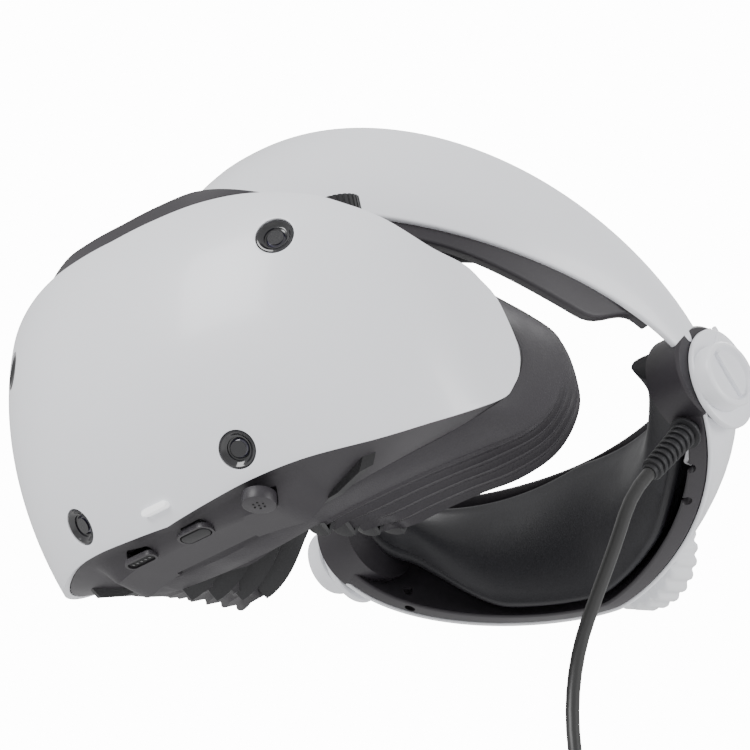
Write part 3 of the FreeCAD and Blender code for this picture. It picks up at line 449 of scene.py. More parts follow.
def run_of(x):
    """Path length along the bow at distance x from the middle."""
    turn = math.asin(min(abs(x) / VISOR_HALF_W, 1.0)) / (math.pi / 2) * BOW_STEPS
    i = min(int(turn), BOW_STEPS - 1)
    return BOW_RUN[i] + (BOW_RUN[i + 1] - BOW_RUN[i]) * (turn - i)


# Edge of the white shell, from the middle of the top round the side to the middle below.
TOP_EDGE = [(0, 101.6), (18, 102.0), (39, 101.6), (59, 98.3), (78.5, 91.0), (88, 84.5),
            (95.8, 77.0), (102.2, 64.5)]
SIDE_EDGE = [(6.5, 58.6), (13.1, 54.0), (21.0, 46.0)]
TIP_EDGE = (24.8, 30)
LOW_SIDE = [(20.6, 20.0), (13.5, 13.6), (6.2, 9.2)]
LOW_EDGE = [(102, 4.6), (96, 1.2), (82, -1.4), (59, -1.7), (39, -3.0), (21, -4.8), (0, -6.6)]


def edge_chains(count):
    """Top and bottom halves of the shell's edge as (a, z), from the middle to the tip."""
    top = [Vector((run_of(x), z, 0)) for x, z in TOP_EDGE]
    top += [Vector((BOW_END + s, z, 0)) for s, z in SIDE_EDGE]
    low = [Vector((run_of(x), z, 0)) for x, z in reversed(LOW_EDGE)]
    low += [Vector((BOW_END + s, z, 0)) for s, z in reversed(LOW_SIDE)]
    tip = Vector((BOW_END + TIP_EDGE[0], TIP_EDGE[1], 0))
    whole = even(top + [tip] + low[::-1], 4 * count)
    split = max(range(len(whole)), key=lambda i: whole[i].x)
    return even(whole[:split + 1], count), even(whole[split:][::-1], count)


def matched(count):
    """The edge from the middle of the top to the middle of the bottom, in one half."""
    top, low = edge_chains(count)
    return top + low[::-1][1:]


def tilt(out, up):
    """Direction turned outwards and upwards from straight ahead, both in degrees."""
    a, e = math.radians(out), math.radians(up)
    return Vector((math.sin(a) * math.cos(e), -math.cos(a) * math.cos(e), math.sin(e)))


def cylinder(radius, length, base, direction, steps=56):
    """Cutter for a round hole."""
    d, u, v = across(direction)
    rows = [[base + (u * math.cos(2 * math.pi * k / steps) + v * math.sin(2 * math.pi * k / steps))
             * radius * MM + d * h * MM for k in range(steps)] for h in (0, length)]
    verts, faces = rings(rows, True, False, True)
    return mesh_piece("cutter", verts, faces, "hollow")


def camera_holes(radius, depth):
    """Cutters along the four cameras' axes, from 12 mm outside the shell inwards."""
    holes = []
    for x, z, out, up in CAMERAS:
        d = tilt(out, up)
        p = shell_at(math.copysign(run_of(x), x), z)
        holes.append(cylinder(radius, depth, at(*(p + d * 12)), -d))
    return holes


def make_front_shell():
    n, m, wall = 64, 40, 2.4
    top, low = edge_chains(n)
    columns = [(-1, i) for i in reversed(range(1, n))] + [(1, i) for i in range(n)]
    skins = []
    for inset in (0.0, wall):
        rows = []
        for side, i in columns:
            row = []
            for j in range(m + 1):
                t = j / m
                p = low[i].lerp(top[i], t)
                row.append(at(*shell_in(side * p.x, p.y, inset)))
            rows.append(row)
        skins.append(rows)
    verts, faces = [], []
    for rows in skins:
        v, f = rings(rows, False)
        base = len(verts)
        verts += v
        faces += [tuple(base + k for k in q) for q in f]
    count, width = len(columns), m + 1
    off = count * width
    for i in range(count - 1):
        for j in (0, m):
            a, b = i * width + j, (i + 1) * width + j
            faces.append((a, b, off + b, off + a))
    obj = mesh_piece("shell_front", verts, faces, "white_shell")
    window = pushed("cutter", oval_outline(5.0, 1.35), at(0, 14, 0), (1, 0, 0), (0, 0, 1), 30,
                    "hollow", None, TINY_EDGE)
    cut(obj, camera_holes(7.1, 24) + [window])
    rounded(obj, 0.55, 3, 50)
    dress(obj, "white_shell", 32)
    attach(obj, "scope")
    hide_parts("front_shell")


# ------------------------------------------------------------------ visor body and light shield
# Half rings from the middle of the top round the side to the middle below.
PLATE_END = [(0, 58, 94), (30, 58.5, 92.5), (60, 61, 84), (78, 65, 71), (90, 74, 57),
             (97, 88, 44), (99, 96.5, 30), (98.6, 88, 15), (94.5, 73, 6), (84, 66, 2),
             (75, 55, -2.6), (66.0, 44, -7.4), (54, 37, -10.8), (38, 32, -12.9),
             (22, 29, -15.2), (0, 27.5, -16.5)]
SHIELD_CREST = [(0, 63, 88), (30, 69, 86), (56, 84, 78), (73, 101, 67), (84, 119, 52),
                (91.5, 127, 40), (94.2, 124, 28), (94.5, 113, 12.5), (92, 100.2, 3),
                (80.0, 87, -1.2), (66.5, 67, -7.0), (54, 56, -10.6), (40, 47, -14.4),
                (34, 45, -16.0), (0, 42, -18)]
SHIELD_REAR = [(0, 66, 83), (30, 73, 81), (54, 89, 75), (70, 107, 65), (80, 121, 55),
               (88, 132, 40), (90.0, 134, 21), (88, 131, 9.2), (84, 121, -2.6),
               (73, 112, -8.5), (60, 103, -10.5), (47, 96, -12.6), (38, 88, -15.5),
               (34, 76, -17.0), (0, 60, -18)]


def half_ring(points, count):
    return even([Vector(p) for p in points], count)


def both_sides(half):
    """Whole closed ring from a half one, which starts and ends on the middle plane."""
    other = [Vector((-p.x, p.y, p.z)) for p in reversed(half[1:-1])]
    return half + other


def outward(p):
    """Direction from the middle axis to p, across Y."""
    return Vector((p.x, 0, p.z - MID_Z)).normalized()


def pull_in(half, back, amount):
    """Half ring moved along Y and then towards the middle axis."""
    out = []
    for p in half:
        q = Vector((p.x, p.y + back, p.z))
        out.append(q - outward(q) * amount)
    return out


def loop_piece(name, halves, material):
    """Closed shell from half rings that run out along one skin and back along the other."""
    verts, faces = rings([[at(*p) for p in both_sides(half)] for half in halves], True, True)
    return mesh_piece(name, verts, faces, material)


def nose_cutter(outline, y, depth):
    """Cutter of the nose gap, from y forwards; the outline has smooth corners."""
    smoothed = even([Vector((x, z, 0)) for x, z in outline], 48, True)
    return pushed("cutter", [(p.x, p.y) for p in smoothed], at(0, y, 0), (1, 0, 0), (0, 0, 1),
                  depth, "hollow", None, TINY_EDGE)


def crest_fade(x):
    """0 over the brow to 1 at the temples."""
    return smooth((x - 28) / 54)


def body_row(knee, plate, tops, v):
    """Half ring of the body at share v between its knee and the plate's end."""
    row = []
    for near, far, (top, edge_z) in zip(knee, plate, tops):
        p = near.lerp(far, v)
        p = p + outward(p) * 0.2 * math.sin(math.pi * v)
        crest = edge_z + 0.4 + 8.4 - 9.8 * crest_fade(p.x)
        p.z += top * (crest - p.z) * smooth(0.25 + v / 0.08) * smooth((1.0 - v) / 0.55)
        if p.z < 0:
            flat = PLATE_Z - PLATE_FALL * (p.y - 3) + 0.3
            p.z += (min(p.z, flat) - p.z) * smooth((54 - p.x) / 14) * smooth(v / 0.2)
        row.append(p)
    return row


def make_visor_body():
    count = 120
    edge = even([Vector((p.x, p.y, 0)) for p in matched(80)], count)
    mid = Vector((0, 46, 0))
    tuck = []
    for p in edge:
        q = p - (p - mid).normalized() * 5.0
        tuck.append(shell_in(q.x, q.y, 3.4))
    under = [shell_in(p.x, p.y, 2.9) for p in edge]
    tops = [(smooth((p.z - 66) / 24), p.z) for p in under]
    plate = half_ring(PLATE_END, count)
    knee = []
    for a, b, (top, _) in zip(under, plate, tops):
        p = a.lerp(b, 0.10)
        knee.append(p + Vector((0, -2.6, 4.2 - 4.6 * crest_fade(p.x))) * top)
    outer = [tuck, under, knee]
    outer += [body_row(knee, plate, tops, v)
              for v in (0.05, 0.12, 0.22, 0.34, 0.46, 0.58, 0.7, 0.82, 0.93)]
    outer += [plate, pull_in(plate, 0.3, 1.4)]
    inner = [pull_in(half, -0.6, 3.2) for half in (plate, outer[9], outer[6])]
    inner.append([shell_in(p.x, p.y, 6.0) for p in edge])
    obj = loop_piece("visor_body", outer + inner, "charcoal")
    cutters = [nose_cutter([(-22.0, -60.0), (22.0, -60.0), (20.5, -16.0), (15.0, 4.0),
                            (-15.0, 4.0), (-20.5, -16.0)], 120, 94)]
    cutters += camera_holes(7.0, 30)
    for x, outline in ((POWER_X, oval_outline(4.0, 3.4)), (MIC_X, oval_outline(4.5, 2.6)),
                       (FUNCTION_X, oval(6.5, 6.5, 64))):
        cutters.append(under_plug("cutter", x, outline, -6, 6, "hollow"))
    cut(obj, cutters)
    dress(obj, "charcoal", 35)
    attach(obj, "scope")
    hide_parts("visor_housing", "top_cover")


# The plate below the visor slopes down towards the face; the keys sit in it.
PLATE_Z, PLATE_FALL = -8.0, 0.352
POWER_X, MIC_X, FUNCTION_X = 5.5, -23.0, 38.0
DOWN = Vector((0, -math.sin(math.radians(19.4)), -math.cos(math.radians(19.4))))
ALONG = DOWN.cross(Vector((1, 0, 0))).normalized()


def underside(x, lift=0.0):
    """Point on the plate where the keys' row runs, or lifted off it outwards."""
    return Vector((x, 12.0, PLATE_Z - 9.5 / 27.0 * 9.0)) + DOWN * lift


def under_plug(name, x, outline, low, high, material, body=None, edge=TINY_EDGE):
    """Outline pushed square to the plate, from low to high off its face."""
    outline = [(-u, v) for u, v in outline]
    return pushed(name, outline, at(*underside(x, low)), ALONG.cross(DOWN), ALONG, high - low,
                  material, body, edge)


def make_light_shield():
    count, teeth = 150, 4
    plate = half_ring(PLATE_END, count)
    crest = half_ring(SHIELD_CREST, count)
    rear = half_ring(SHIELD_REAR, count)
    halves = [pull_in(plate, -3.0, 2.4), pull_in(plate, 0.2, 1.0), pull_in(plate, 0.9, 0.35)]
    for v in (0.12, 0.3, 0.5, 0.7, 0.88, 1.0):
        row = [a.lerp(b, v) for a, b in zip(plate, crest)]
        halves.append([p + outward(p) * math.sin(math.pi * v) * 0.8 for p in row])
    steps, climb = teeth * 6, 0.72
    for k in range(1, steps + 1):
        v = k / steps
        phase = (v * teeth) % 1.0
        saw = phase / climb if phase < climb else (1 - phase) / (1 - climb)
        row = []
        for a, b in zip(crest, rear):
            p = a.lerp(b, v)
            low = smooth((30 - p.z) / 34.0)
            row.append(p - outward(p) * low * (saw * 2.6 - 1.4 * (1 - v)))
        halves.append(row)
    lip = halves[-1]
    halves += [pull_in(lip, back, amount)
               for back, amount in ((0.8, 1.0), (0.9, 2.6), (-0.5, 4.5), (-12, 6.5))]
    halves.append(pull_in(plate, 1.0, 7.5))
    obj = loop_piece("shield", halves, "shield_rubber")
    cut(obj, [nose_cutter([(-35, -60), (35, -60), (34, -18), (28, -9), (18, 3), (-18, 3),
                           (-28, -9), (-34, -18)], 160, 117)])
    dress(obj, "shield_rubber", 30)
    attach(obj, "scope")
    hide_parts("light_shield")


def make_nose_bellows():
    """Folded rubber walls on both sides of the nose gap, joined to the shield's lower edge."""
    folds, per, across_count = 4, 8, 16
    start, length = 40.5, 52.0
    for side, word in SIDES:
        rows = []
        for k in range(folds * per + 1):
            v = k / (folds * per)
            phase = (v * folds) % 1.0
            tri = 1 - abs(2 * phase - 1)
            y = start + length * v
            row = []
            for j in range(across_count + 1):
                h = j / across_count
                fold = tri * (1 - 0.62 * h)
                x = 36.0 - 21.0 * h ** 0.8 - 2.2 * tri * h * (1 - h) * 4
                z = -11.0 + 3.0 * v * v + 16.0 * h ** 1.5 - 8.2 * fold
                row.append(at(side * x, y + 11 * h * (0.4 + 0.6 * (1 - v)), z))
            rows.append(row)
        verts, faces = rings(rows, False)
        obj = mesh_piece("bellows_" + word, verts, faces, "plain_rubber")
        m = obj.modifiers.new("wall", "SOLIDIFY")
        m.thickness, m.offset = 1.6 * MM, 0
        settle(obj)
        dress(obj, "plain_rubber", 28)
        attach(obj, "scope")
        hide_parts("nose_bellows")


# ------------------------------------------------------------------ straps
def arc_between(start, end, bow, climb):
    """Curve from the wearer's right (s = -1) over the middle (0) to the left (1)."""
    def point(s):
        turn = s * math.pi / 2
        c, k = max(math.cos(turn), 1e-9), math.sin(turn)
        return Vector((start[0] * power(k, bow), start[1] + (end[1] - start[1]) * c ** climb[0],
                       start[2] + (end[2] - start[2]) * c ** climb[1]))
    return point


band_low = arc_between((95.0, 196.4, 25.9), (0, 51.6, 106.5), 0.88, (1.14, 0.75))
band_high = arc_between((95.0, 204.2, 34.1), (0, 90.0, 142.4), 0.89, (0.87, 0.57))
rear_low = arc_between((98.5, 188.0, 30.0), (0, 237.4, -28.0), 1.333, (1.333, 0.8))
rear_high = arc_between((98.5, 206.0, 48.0), (0, 243.0, 30.0), 1.0, (1.2, 1.2))


def stations(curve, count, end):
    """Values of s from -end to end at even distances along the curve."""
    steps = 800
    fine = [end * (2 * i / steps - 1) for i in range(steps + 1)]
    runs = [0.0]
    for p, q in zip(fine, fine[1:]):
        runs.append(runs[-1] + (curve(q) - curve(p)).length)
    picks, j = [], 0
    for k in range(count):
        want = runs[-1] * k / (count - 1)
        while j < steps and runs[j] < want:
            j += 1
        picks.append(fine[j])
    return picks


def section(width, outer, outer_crown, inner, inner_crown, r, steps=14):
    """Closed (across, out) outline with rounded corners; corners have radius r."""
    r = min(r, (outer - inner) / 2 - 0.01, width / 2 - 0.01)
    pts = []
    arc = [math.pi / 2 * k / 5 for k in range(6)]
    pts += [(r - r * math.cos(a), outer - r + r * math.sin(a)) for a in arc]
    for k in range(1, steps):
        u = k / steps
        pts.append((r + (width - 2 * r) * u, outer + outer_crown * 4 * u * (1 - u)))
    pts += [(width - r + r * math.sin(a), outer - r + r * math.cos(a)) for a in arc]
    pts += [(width - r + r * math.cos(a), inner + r - r * math.sin(a)) for a in arc]
    for k in range(1, steps):
        u = 1 - k / steps
        pts.append((r + (width - 2 * r) * u, inner + inner_crown * 4 * u * (1 - u)))
    pts += [(r - r * math.sin(a), inner + r - r * math.cos(a)) for a in arc]
    return pts


def frame_at(s, low, high):
    """Both edges at s, the direction across the strap and the one out of it."""
    lo, hi = low(s), high(s)
    cross = (hi - lo).normalized()
    along = (low(s + .01) + high(s + .01)) - (low(s - .01) + high(s - .01))
    out = along.cross(cross).normalized()
    if out.dot(Vector((lo.x, lo.y - HEAD_Y, 0))) < 0:
        out = -out
    return lo, hi, cross, out


def strap(name, picks, low, high, layer, material, body, inset=0.0, r=1.0):
    """layer(s) gives outer, outer crown, inner, inner crown and an extra inset at the ends."""
    rows = []
    for s in picks:
        lo, hi, cross, out = frame_at(s, low, high)
        outer, oc, inner, ic, extra = layer(s)
        first = inset + extra
        width = (hi - lo).length - 2 * first
        rows.append([at(*(lo + cross * (first + w) + out * o))
                     for w, o in section(width, outer, oc, inner, ic, r)])
    verts, faces = rings(rows, True, False, True)
    return mesh_piece(name, verts, faces, material, body, 40)


def cos_half(s):
    return max(math.cos(s * math.pi / 2), 0.0)


def band_crown(s):
    return 3 * cos_half(s) ** 0.5


def liner_low(s):
    """Lower edge of the liner: it drops below the band between the brow and the temples."""
    near = smooth((0.885 - abs(s)) / 0.12)
    brow = min(abs(s) / 0.25, 1.0) ** 2
    drop = (6.5 + 7.0 * smooth((abs(s) - 0.5) / 0.32)) * near * (0.45 + 0.55 * brow)
    return band_low(s) + (band_low(s) - band_high(s)).normalized() * drop


def make_halo():
    picks = stations(band_low, 110, 0.985)
    obj = strap("halo_cover", picks, band_low, band_high,
                lambda s: (0, band_crown(s), -3, band_crown(s), 0),
                "white_shell", "band", 0, 1.2)
    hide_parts("halo_shell")
    picks = stations(band_low, 120, 0.90)
    obj = strap("halo_liner", picks, liner_low, band_high,
                lambda s: (-3.1, 2.6 * cos_half(s) ** 0.5, -8.3, band_crown(s), 0),
                "charcoal", "band", 1.5, 1.6)
    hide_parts("halo_frame")

    def pad(s):
        left = smooth((0.60 - abs(s)) / 0.10) ** 0.5
        return -8.6, band_crown(s), -9.6 - 8.0 * left, -4.0 * left, 2.5 * (1 - left)
    picks = stations(band_low, 90, 0.60)
    obj = strap("brow_pad", picks, liner_low, band_high, pad, "pad_skin", "band", 1.5, 3.6)
    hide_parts("forehead_pad")


def rear_bulge(s):
    return 10.0 * cos_half(s) ** 0.6 + 1.0


REAR_REACH = 0.93


def make_rear():
    obj = strap("rear_cover", stations(rear_low, 130, REAR_REACH), rear_low, rear_high,
                lambda s: (0, rear_bulge(s), -1.9, rear_bulge(s), 0), "white_shell", "rear", 0, 0.9)
    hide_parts("rear_shell")
    for side, word in SIDES:
        pushed("rear_end_" + word, oval(15.6, 19.2, 96), at(side * 95.6, 205, 26), (0, side, 0),
               (0, 0, 1), 3.0, "white_shell", "rear", 0.8)
    make_rear_plate()
    make_rear_cushion()
    make_rail_bars()


def make_rear_plate():
    """Dark inner plate with the holes for the lead and the earphones, and its end blocks."""
    plate = strap("rear_plate", stations(rear_low, 120, REAR_REACH), rear_low, rear_high,
                  lambda s: (-2.0, rear_bulge(s), -9.0, rear_bulge(s) - 0.5, 0),
                  "charcoal", None, 0.5, 1.0)
    mouth = Vector((-0.25, -0.35, -0.9)).normalized()
    cutters = [cylinder(4.3, 30, at(*(EXIT - (RELIEF_END - EXIT).normalized() * 6)),
                        RELIEF_END - EXIT)]
    for x, y, z in ((76.0, 203.5, 1.0), (64.0, 211.0, -8.0), (-76.0, 206.5, -1.0)):
        way = Vector((mouth.x * math.copysign(1, x), mouth.y, mouth.z))
        cutters.append(cylinder(1.9, 20, at(*(Vector((x, y, z)) - way * 7)), way))
    cut(plate, cutters)
    dress(plate, "charcoal", 35)
    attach(plate, "rear")
    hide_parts("rear_frame")
    for side, word in SIDES:
        turned("end_block_" + word, [(0.01, 0), (17.6, 0), (18.5, 0.9), (18.5, 16.0), (16.5, 16.2),
                                     (12.0, 17.2), (0.01, 17.5)],
               at(side * 95.5, 203, 29), (-side, 0, 0), "charcoal", "rear", 80)


def make_rear_cushion():
    pad_out = -9.1

    def pad(s):
        side = abs(math.sin(s * math.pi / 2)) ** 2
        left = smooth((0.94 - abs(s)) / 0.11) ** 0.5
        more = 5.0 * smooth((abs(s) - 0.66) / 0.2)
        return (pad_out, rear_bulge(s) - 1, pad_out - 1.2 - (1.8 + 4 * side + more) * left,
                -(4.4 + 8 * side) * left, 2.0 * (1 - left))
    obj = strap("rear_cushion", stations(rear_low, 120, REAR_REACH), pad_low, pad_high, pad,
                "pad_skin", "rear", 2.0, 3.2)
    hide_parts("rear_pad")


def make_rail_bars():
    """Flat bars of the band that run into the rear section along its slide."""
    fall = math.radians(24)
    slope = Vector((0, math.cos(fall), -math.sin(fall)))
    lift = Vector((0, math.sin(fall), math.cos(fall)))
    for side, word in SIDES:
        rows = []
        for run in (22.0, 39.5, 40.0):
            half_h, half_t = (3.4, 0.7) if run < 40 else (3.0, 0.4)
            mid = Vector((side * 76.5, 176.0, 41.5)) + slope * run
            rows.append([at(*(mid + lift * b + Vector((a, 0, 0))))
                         for a, b in ((-half_t, -half_h), (half_t, -half_h), (half_t, half_h),
                                      (-half_t, half_h))])
        verts, faces = rings(rows, True, False, True)
        bar = mesh_piece("rail_bar_" + word, verts, faces, "inner_black", "band")
        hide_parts("rail_" + word)


def pad_high(s):
    """Upper edge of the rear cushion, a little below the plate's."""
    share = 0.09 * math.sin(math.pi * min(abs(s) / 0.9, 1.0))
    return rear_high(s) + (rear_low(s) - rear_high(s)) * share


def pad_low(s):
    """Lower edge of the rear cushion: it leaves the plate bare beside the ears."""
    share = 0.04 + 0.30 * smooth((abs(s) - 0.34) / 0.3)
    return rear_low(s) + (rear_high(s) - rear_low(s)) * share


def make_side_caps():
    """Plain round bosses: a ring with a dished face and one straight rib."""
    for side, word in SIDES:
        base = at(side * 98.55, 201, 25)
        obj = turned("cap_" + word, [(0.01, 0), (12.0, 0), (12.5, 0.4), (12.5, 6.2), (12.2, 6.9),
                                     (11.5, 7.4), (10.4, 7.45), (10.0, 7.0), (9.7, 6.0),
                                     (9.2, 5.5), (0.01, 5.2)],
                     base, (side, 0, 0), "white_shell", "rear", 96)
        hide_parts("side_cap_" + word)
        pushed("cap_rib_" + word, [(-1.1, -8.9), (1.1, -8.9), (1.1, 8.9), (-1.1, 8.9)],
               at(side * 103.4, 201, 25), (0, side * 0.88, 0.47), (0, -0.47 * side, 0.88),
               2.2, "white_shell", "rear", 0.4)


def make_dial():
    base = at(0, 250.8, -4)
    lobes = 24

    def ripple(r, h, a):
        return -1.5 * (0.5 - 0.5 * math.cos(lobes * a)) ** 1.6 if r > 20.5 else 0.0
    obj = turned("dial_wheel", [(0.01, 0), (20, 0), (21.6, 0.4), (22.5, 1.4), (22.5, 10.4),
                                (22.0, 11.9), (20.6, 12.8), (18.0, 13.0), (10.2, 13.0),
                                (9.6, 12.6), (9.4, 11.6), (9.4, 7.1), (0.01, 7.0)],
                 base, (0, 1, 0), "pale_dial", "dial", 288, ripple=ripple, sharp=50)
    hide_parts("rear_dial")
    obj = turned("release_face", [(0.01, 0), (8.6, 0), (9.0, 0.5), (9.0, 3.4), (8.6, 3.9),
                                  (7.0, 4.0), (0.01, 3.5)],
                 base + Vector((0, 9.8, 0)) * MM, (0, 1, 0), "pale_dial", "dial_release", 72)
    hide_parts("release_button")


# ------------------------------------------------------------------ small pieces on the visor
def make_cameras():
    words = ("upper_left", "upper_right", "lower_left", "lower_right")
    for (x, z, out, up), word in zip(CAMERAS, words):
        d = tilt(out, up)
        p = shell_at(math.copysign(run_of(x), x), z)
        base = at(*(p - d * 3.4))
        ring = turned("camera_ring_" + word,
                      [(6.75, 0), (6.8, 0.2), (6.8, 2.7), (6.6, 3.1), (6.1, 3.25), (5.7, 3.0),
                       (5.2, 2.3), (4.6, 2.0), (4.3, 1.9), (4.2, 1.2), (3.7, 1.0), (3.7, 0)],
                      base, d, "gloss_black", "scope", 80)
        # The lens glass has a painted purple-blue reflection in its colour.
        glass = turned("camera_glass_" + word,
                       [(0.01, -0.2), (3.68, -0.2), (3.68, 0.6), (3.2, 1.0), (2.4, 1.35),
                        (1.4, 1.6), (0.6, 1.7), (0.01, 1.72)], base, d, "tinted_glass", "scope", 64)
        if word == "upper_left":
            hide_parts("camera_bezels")
            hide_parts("camera_lenses")
        turned("camera_iris_" + word, [(1.55, 0), (3.0, 0), (3.0, 0.15), (1.55, 0.15)],
               at(*(p - d * 1.55)), d, "gloss_black", "scope", 48)


def make_underside():
    """Keys, microphone slot and light bar."""
    obj = under_plug("power_key", POWER_X, oval_outline(4.0, 2.6), -4.4, 0.7, "inner_black",
                     "power_button", 0.6)
    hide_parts("power_button")
    ring_on_plate("power_rim", POWER_X, oval_outline(4.0, 4.0), oval_outline(4.0, 3.0), 0.35)
    obj = under_plug("function_key", FUNCTION_X, oval(6.2, 6.2, 72), -4.4, 0.45, "charcoal",
                     "function_button", 0.5)
    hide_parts("function_button")
    for k in range(7):
        a = 2 * math.pi * k / 6
        r = 0 if k == 6 else 2.1
        place = underside(FUNCTION_X + r * math.cos(a), 0.3) + ALONG * r * math.sin(a)
        turned("function_dot_%d" % k, [(0.01, 0), (0.42, 0), (0.42, 0.3), (0.3, 0.42), (0.01, 0.45)],
               at(*place), DOWN, "hollow", "function_button", 20)
    obj = under_plug("mic_grille", MIC_X, oval_outline(4.5, 1.8), -2.6, -0.35, "hollow", "scope", 0.3)
    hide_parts("microphone_grille")
    ring_on_plate("mic_rim", MIC_X, oval_outline(4.5, 2.9), oval_outline(4.5, 1.9), 0.25)
    for k in range(5):
        place = underside(MIC_X + (k - 2) * 2.1, -0.3)
        turned("mic_hole_%d" % k, [(0.01, 0), (0.5, 0), (0.5, 0.15), (0.01, 0.18)], at(*place),
               DOWN, "gloss_black", "scope", 16)
    bar = pushed("bar_window", oval_outline(5.0, 1.2), at(0, 2.0, 0), (1, 0, 0), (0, 0, 1), 3.1,
                 "light_window", "scope", 0.3)
    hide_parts("light_bar")


def ring_on_plate(name, x, outer, inner, height):
    """Thin raised rim on the underside plate."""
    u = ALONG.cross(DOWN)
    shoulder = [(a * .97 + b * .03, c * .97 + d * .03) for (a, c), (b, d) in zip(outer, inner)]
    rows = []
    for outline, h in ((outer, -1.5), (outer, height * 0.6), (shoulder, height),
                       (inner, height), (inner, -1.5)):
        rows.append([at(*(underside(x, h) - u * a + ALONG * b)) for a, b in outline])
    verts, faces = rings(rows)
    return mesh_piece(name, verts, faces, "charcoal", "scope")


# ------------------------------------------------------------------ cord
EXIT = Vector((85.0, 193.0, 9.0))
RELIEF_END = Vector((83.6, 169.0, -7.5))
CORD_R = 2.5
CORD_ROUTE = [(83.6, 169.0, -7.5), (82.95, 157.9, -15.13), (82.8, 144.0, -34.0),
              (82.4, 127.0, -55.0), (82.0, 111.5, -74.5), (82.0, 100.5, -96.0),
              (82.0, 95.5, -118.0), (82.0, 96.5, -134.0)]
CORD_TAIL = [(72.0, 145.5, -188.0), (70.5, 145.5, -194.0), (66.5, 145.5, -200.5),
             (63.5, 145.5, -208.0), (63.5, 145.5, -218.0)]
COIL_MID = (82.0, 113.0, -188.0)
COIL_R, COIL_STEP, TURN_STEPS = 34.6, 5.1, 30
# Row and column of each turn in the coil's section, in the order they are wound.
COIL_CELLS = [(0, 0), (0, 1), (0, 2), (1, 2), (1, 1), (1, 0), (1, -1), (2, -1), (2, 0), (2, 1),
              (2, 2), (3, 2), (4, 2), (4, 1), (3, 1), (3, 0), (4, 0), (4, -1), (3, -1), (3, -2),
              (2, -2)]


def coil_point(x, radius, angle):
    return Vector((x, COIL_MID[1] + radius * math.sin(angle), COIL_MID[2] + radius * math.cos(angle)))


def coil_points():
    """The coil, turn by turn; near its end each turn moves over to the next one's cell."""
    first, last = math.radians(-14.5), math.radians(80.0)
    turns = len(COIL_CELLS) - 1 + (last - first) / (2 * math.pi)
    points = []
    for k in range(int(turns * TURN_STEPS) + 1):
        lap, part = divmod(k, TURN_STEPS)
        row, col = COIL_CELLS[lap]
        if lap + 1 < len(COIL_CELLS):
            to_row, to_col = COIL_CELLS[lap + 1]
            begin = 318 - 12 * lap
            f = smooth((part * 360 / TURN_STEPS - begin) / 30.0)
            row, col = row + (to_row - row) * f, col + (to_col - col) * f
        points.append(coil_point(COIL_MID[0] + col * COIL_STEP, COIL_R + (2 - row) * COIL_STEP,
                                 first + 2 * math.pi * k / TURN_STEPS))
    return points


def make_cord():
    """The whole lead as one line: drop, coil and tail."""
    points = [Vector(p) for p in CORD_ROUTE] + coil_points() + [Vector(p) for p in CORD_TAIL]
    data = bpy.data.curves.new("lead", "CURVE")
    data.dimensions, data.bevel_depth, data.bevel_resolution = "3D", CORD_R * MM, 5
    line = data.splines.new("NURBS")
    line.points.add(len(points) - 1)
    for spot, p in zip(line.points, points):
        spot.co = (*at(*p), 1)
    line.order_u, line.use_endpoint_u, line.resolution_u = 3, True, 3
    data.use_fill_caps = True
    lead = linked("lead", data)
    data.materials.append(look("cord_sheath"))
    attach(lead, "rear")
    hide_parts("cord", "cord_tail", "cord_coil")
    tie = make_tie()


def make_tie():
    """Flat strap round the bundle of turns."""
    angle = math.radians(75)
    mid = coil_point(COIL_MID[0], COIL_R, angle)
    out = Vector((0, math.sin(angle), math.cos(angle)))
    side, along = Vector((1, 0, 0)), Vector((0, math.cos(angle), -math.sin(angle)))
    half, corner = 2.5 * COIL_STEP + 0.3, 4.0
    loop = []
    for cx, cy, start in ((half - corner, half - corner, 0), (corner - half, half - corner, 90),
                          (corner - half, corner - half, 180), (half - corner, corner - half, 270)):
        for k in range(9):
            a = math.radians(start + 90 * k / 8)
            loop.append((cx + corner * math.cos(a), cy + corner * math.sin(a), math.cos(a),
                         math.sin(a)))
    rows = []
    for x, y, nx, ny in loop:
        row = []
        for w, t in ((-4, 0), (-4, 0.7), (-3.6, 1.0), (3.6, 1.0), (4, 0.7), (4, 0)):
            row.append(at(*(mid + side * (x + nx * t) + out * (y + ny * t) + along * w)))
        rows.append(row)
    verts, faces = rings(rows, True, True)
    tie = mesh_piece("lead_tie", verts, faces, "tie_fabric", "rear")
    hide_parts("coil_tie")
    return tie


def make_strain_relief():
    """Ribbed sleeve where the lead leaves the rear section."""
    axis = RELIEF_END - EXIT
    length = axis.length
    profile = [(0.01, -4.0), (4.0, -4.0), (4.0, 0.0), (6.2, 0.0), (6.4, 0.5), (6.2, 1.2), (4.3, 1.6)]
    for i in range(8):
        h, r = 2.2 + 3.3 * i, 5.0 - 0.11 * i
        core = 4.0 - 1.0 * h / length
        profile += [(core, h), (r - 0.3, h + 0.1), (r, h + 0.5), (r, h + 1.4), (r - 0.3, h + 1.8),
                    (core, h + 1.95)]
    profile += [(3.05, length - 0.4), (2.8, length), (0.01, length)]
    obj = turned("relief_sleeve", profile, at(*EXIT), axis, "plain_rubber", "rear", 48)
    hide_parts("strain_relief")


# ------------------------------------------------------------------ carried-over CAD nodes
CARRIED = {
    "inner_black": ("slide_arms", "bulkhead", "camera_modules", "fan_frame", "fan_rotor",
        "rod_brackets", "arm_guides", "lens_barrel_left", "lens_barrel_right", "ipd_rack_left",
        "ipd_rack_right"),
    "steel": ("haptic_motor", "board_screws", "guide_rods", "rack_upper", "rack_lower",
        "headphone_socket", "plug_contact", "dial_shaft", "dial_pinion", "release_spring"),
    "board": ("main_board",),
    "aluminium": ("heat_sink",),
    "eye_glass": ("eye_lens_left", "eye_lens_right"),
    "gloss_black": ("display_left", "display_right"),
    "plain_rubber": ("eye_ring_left", "eye_ring_right", "lens_wheel", "plug_body"),
    "charcoal": ("scope_release",),
}


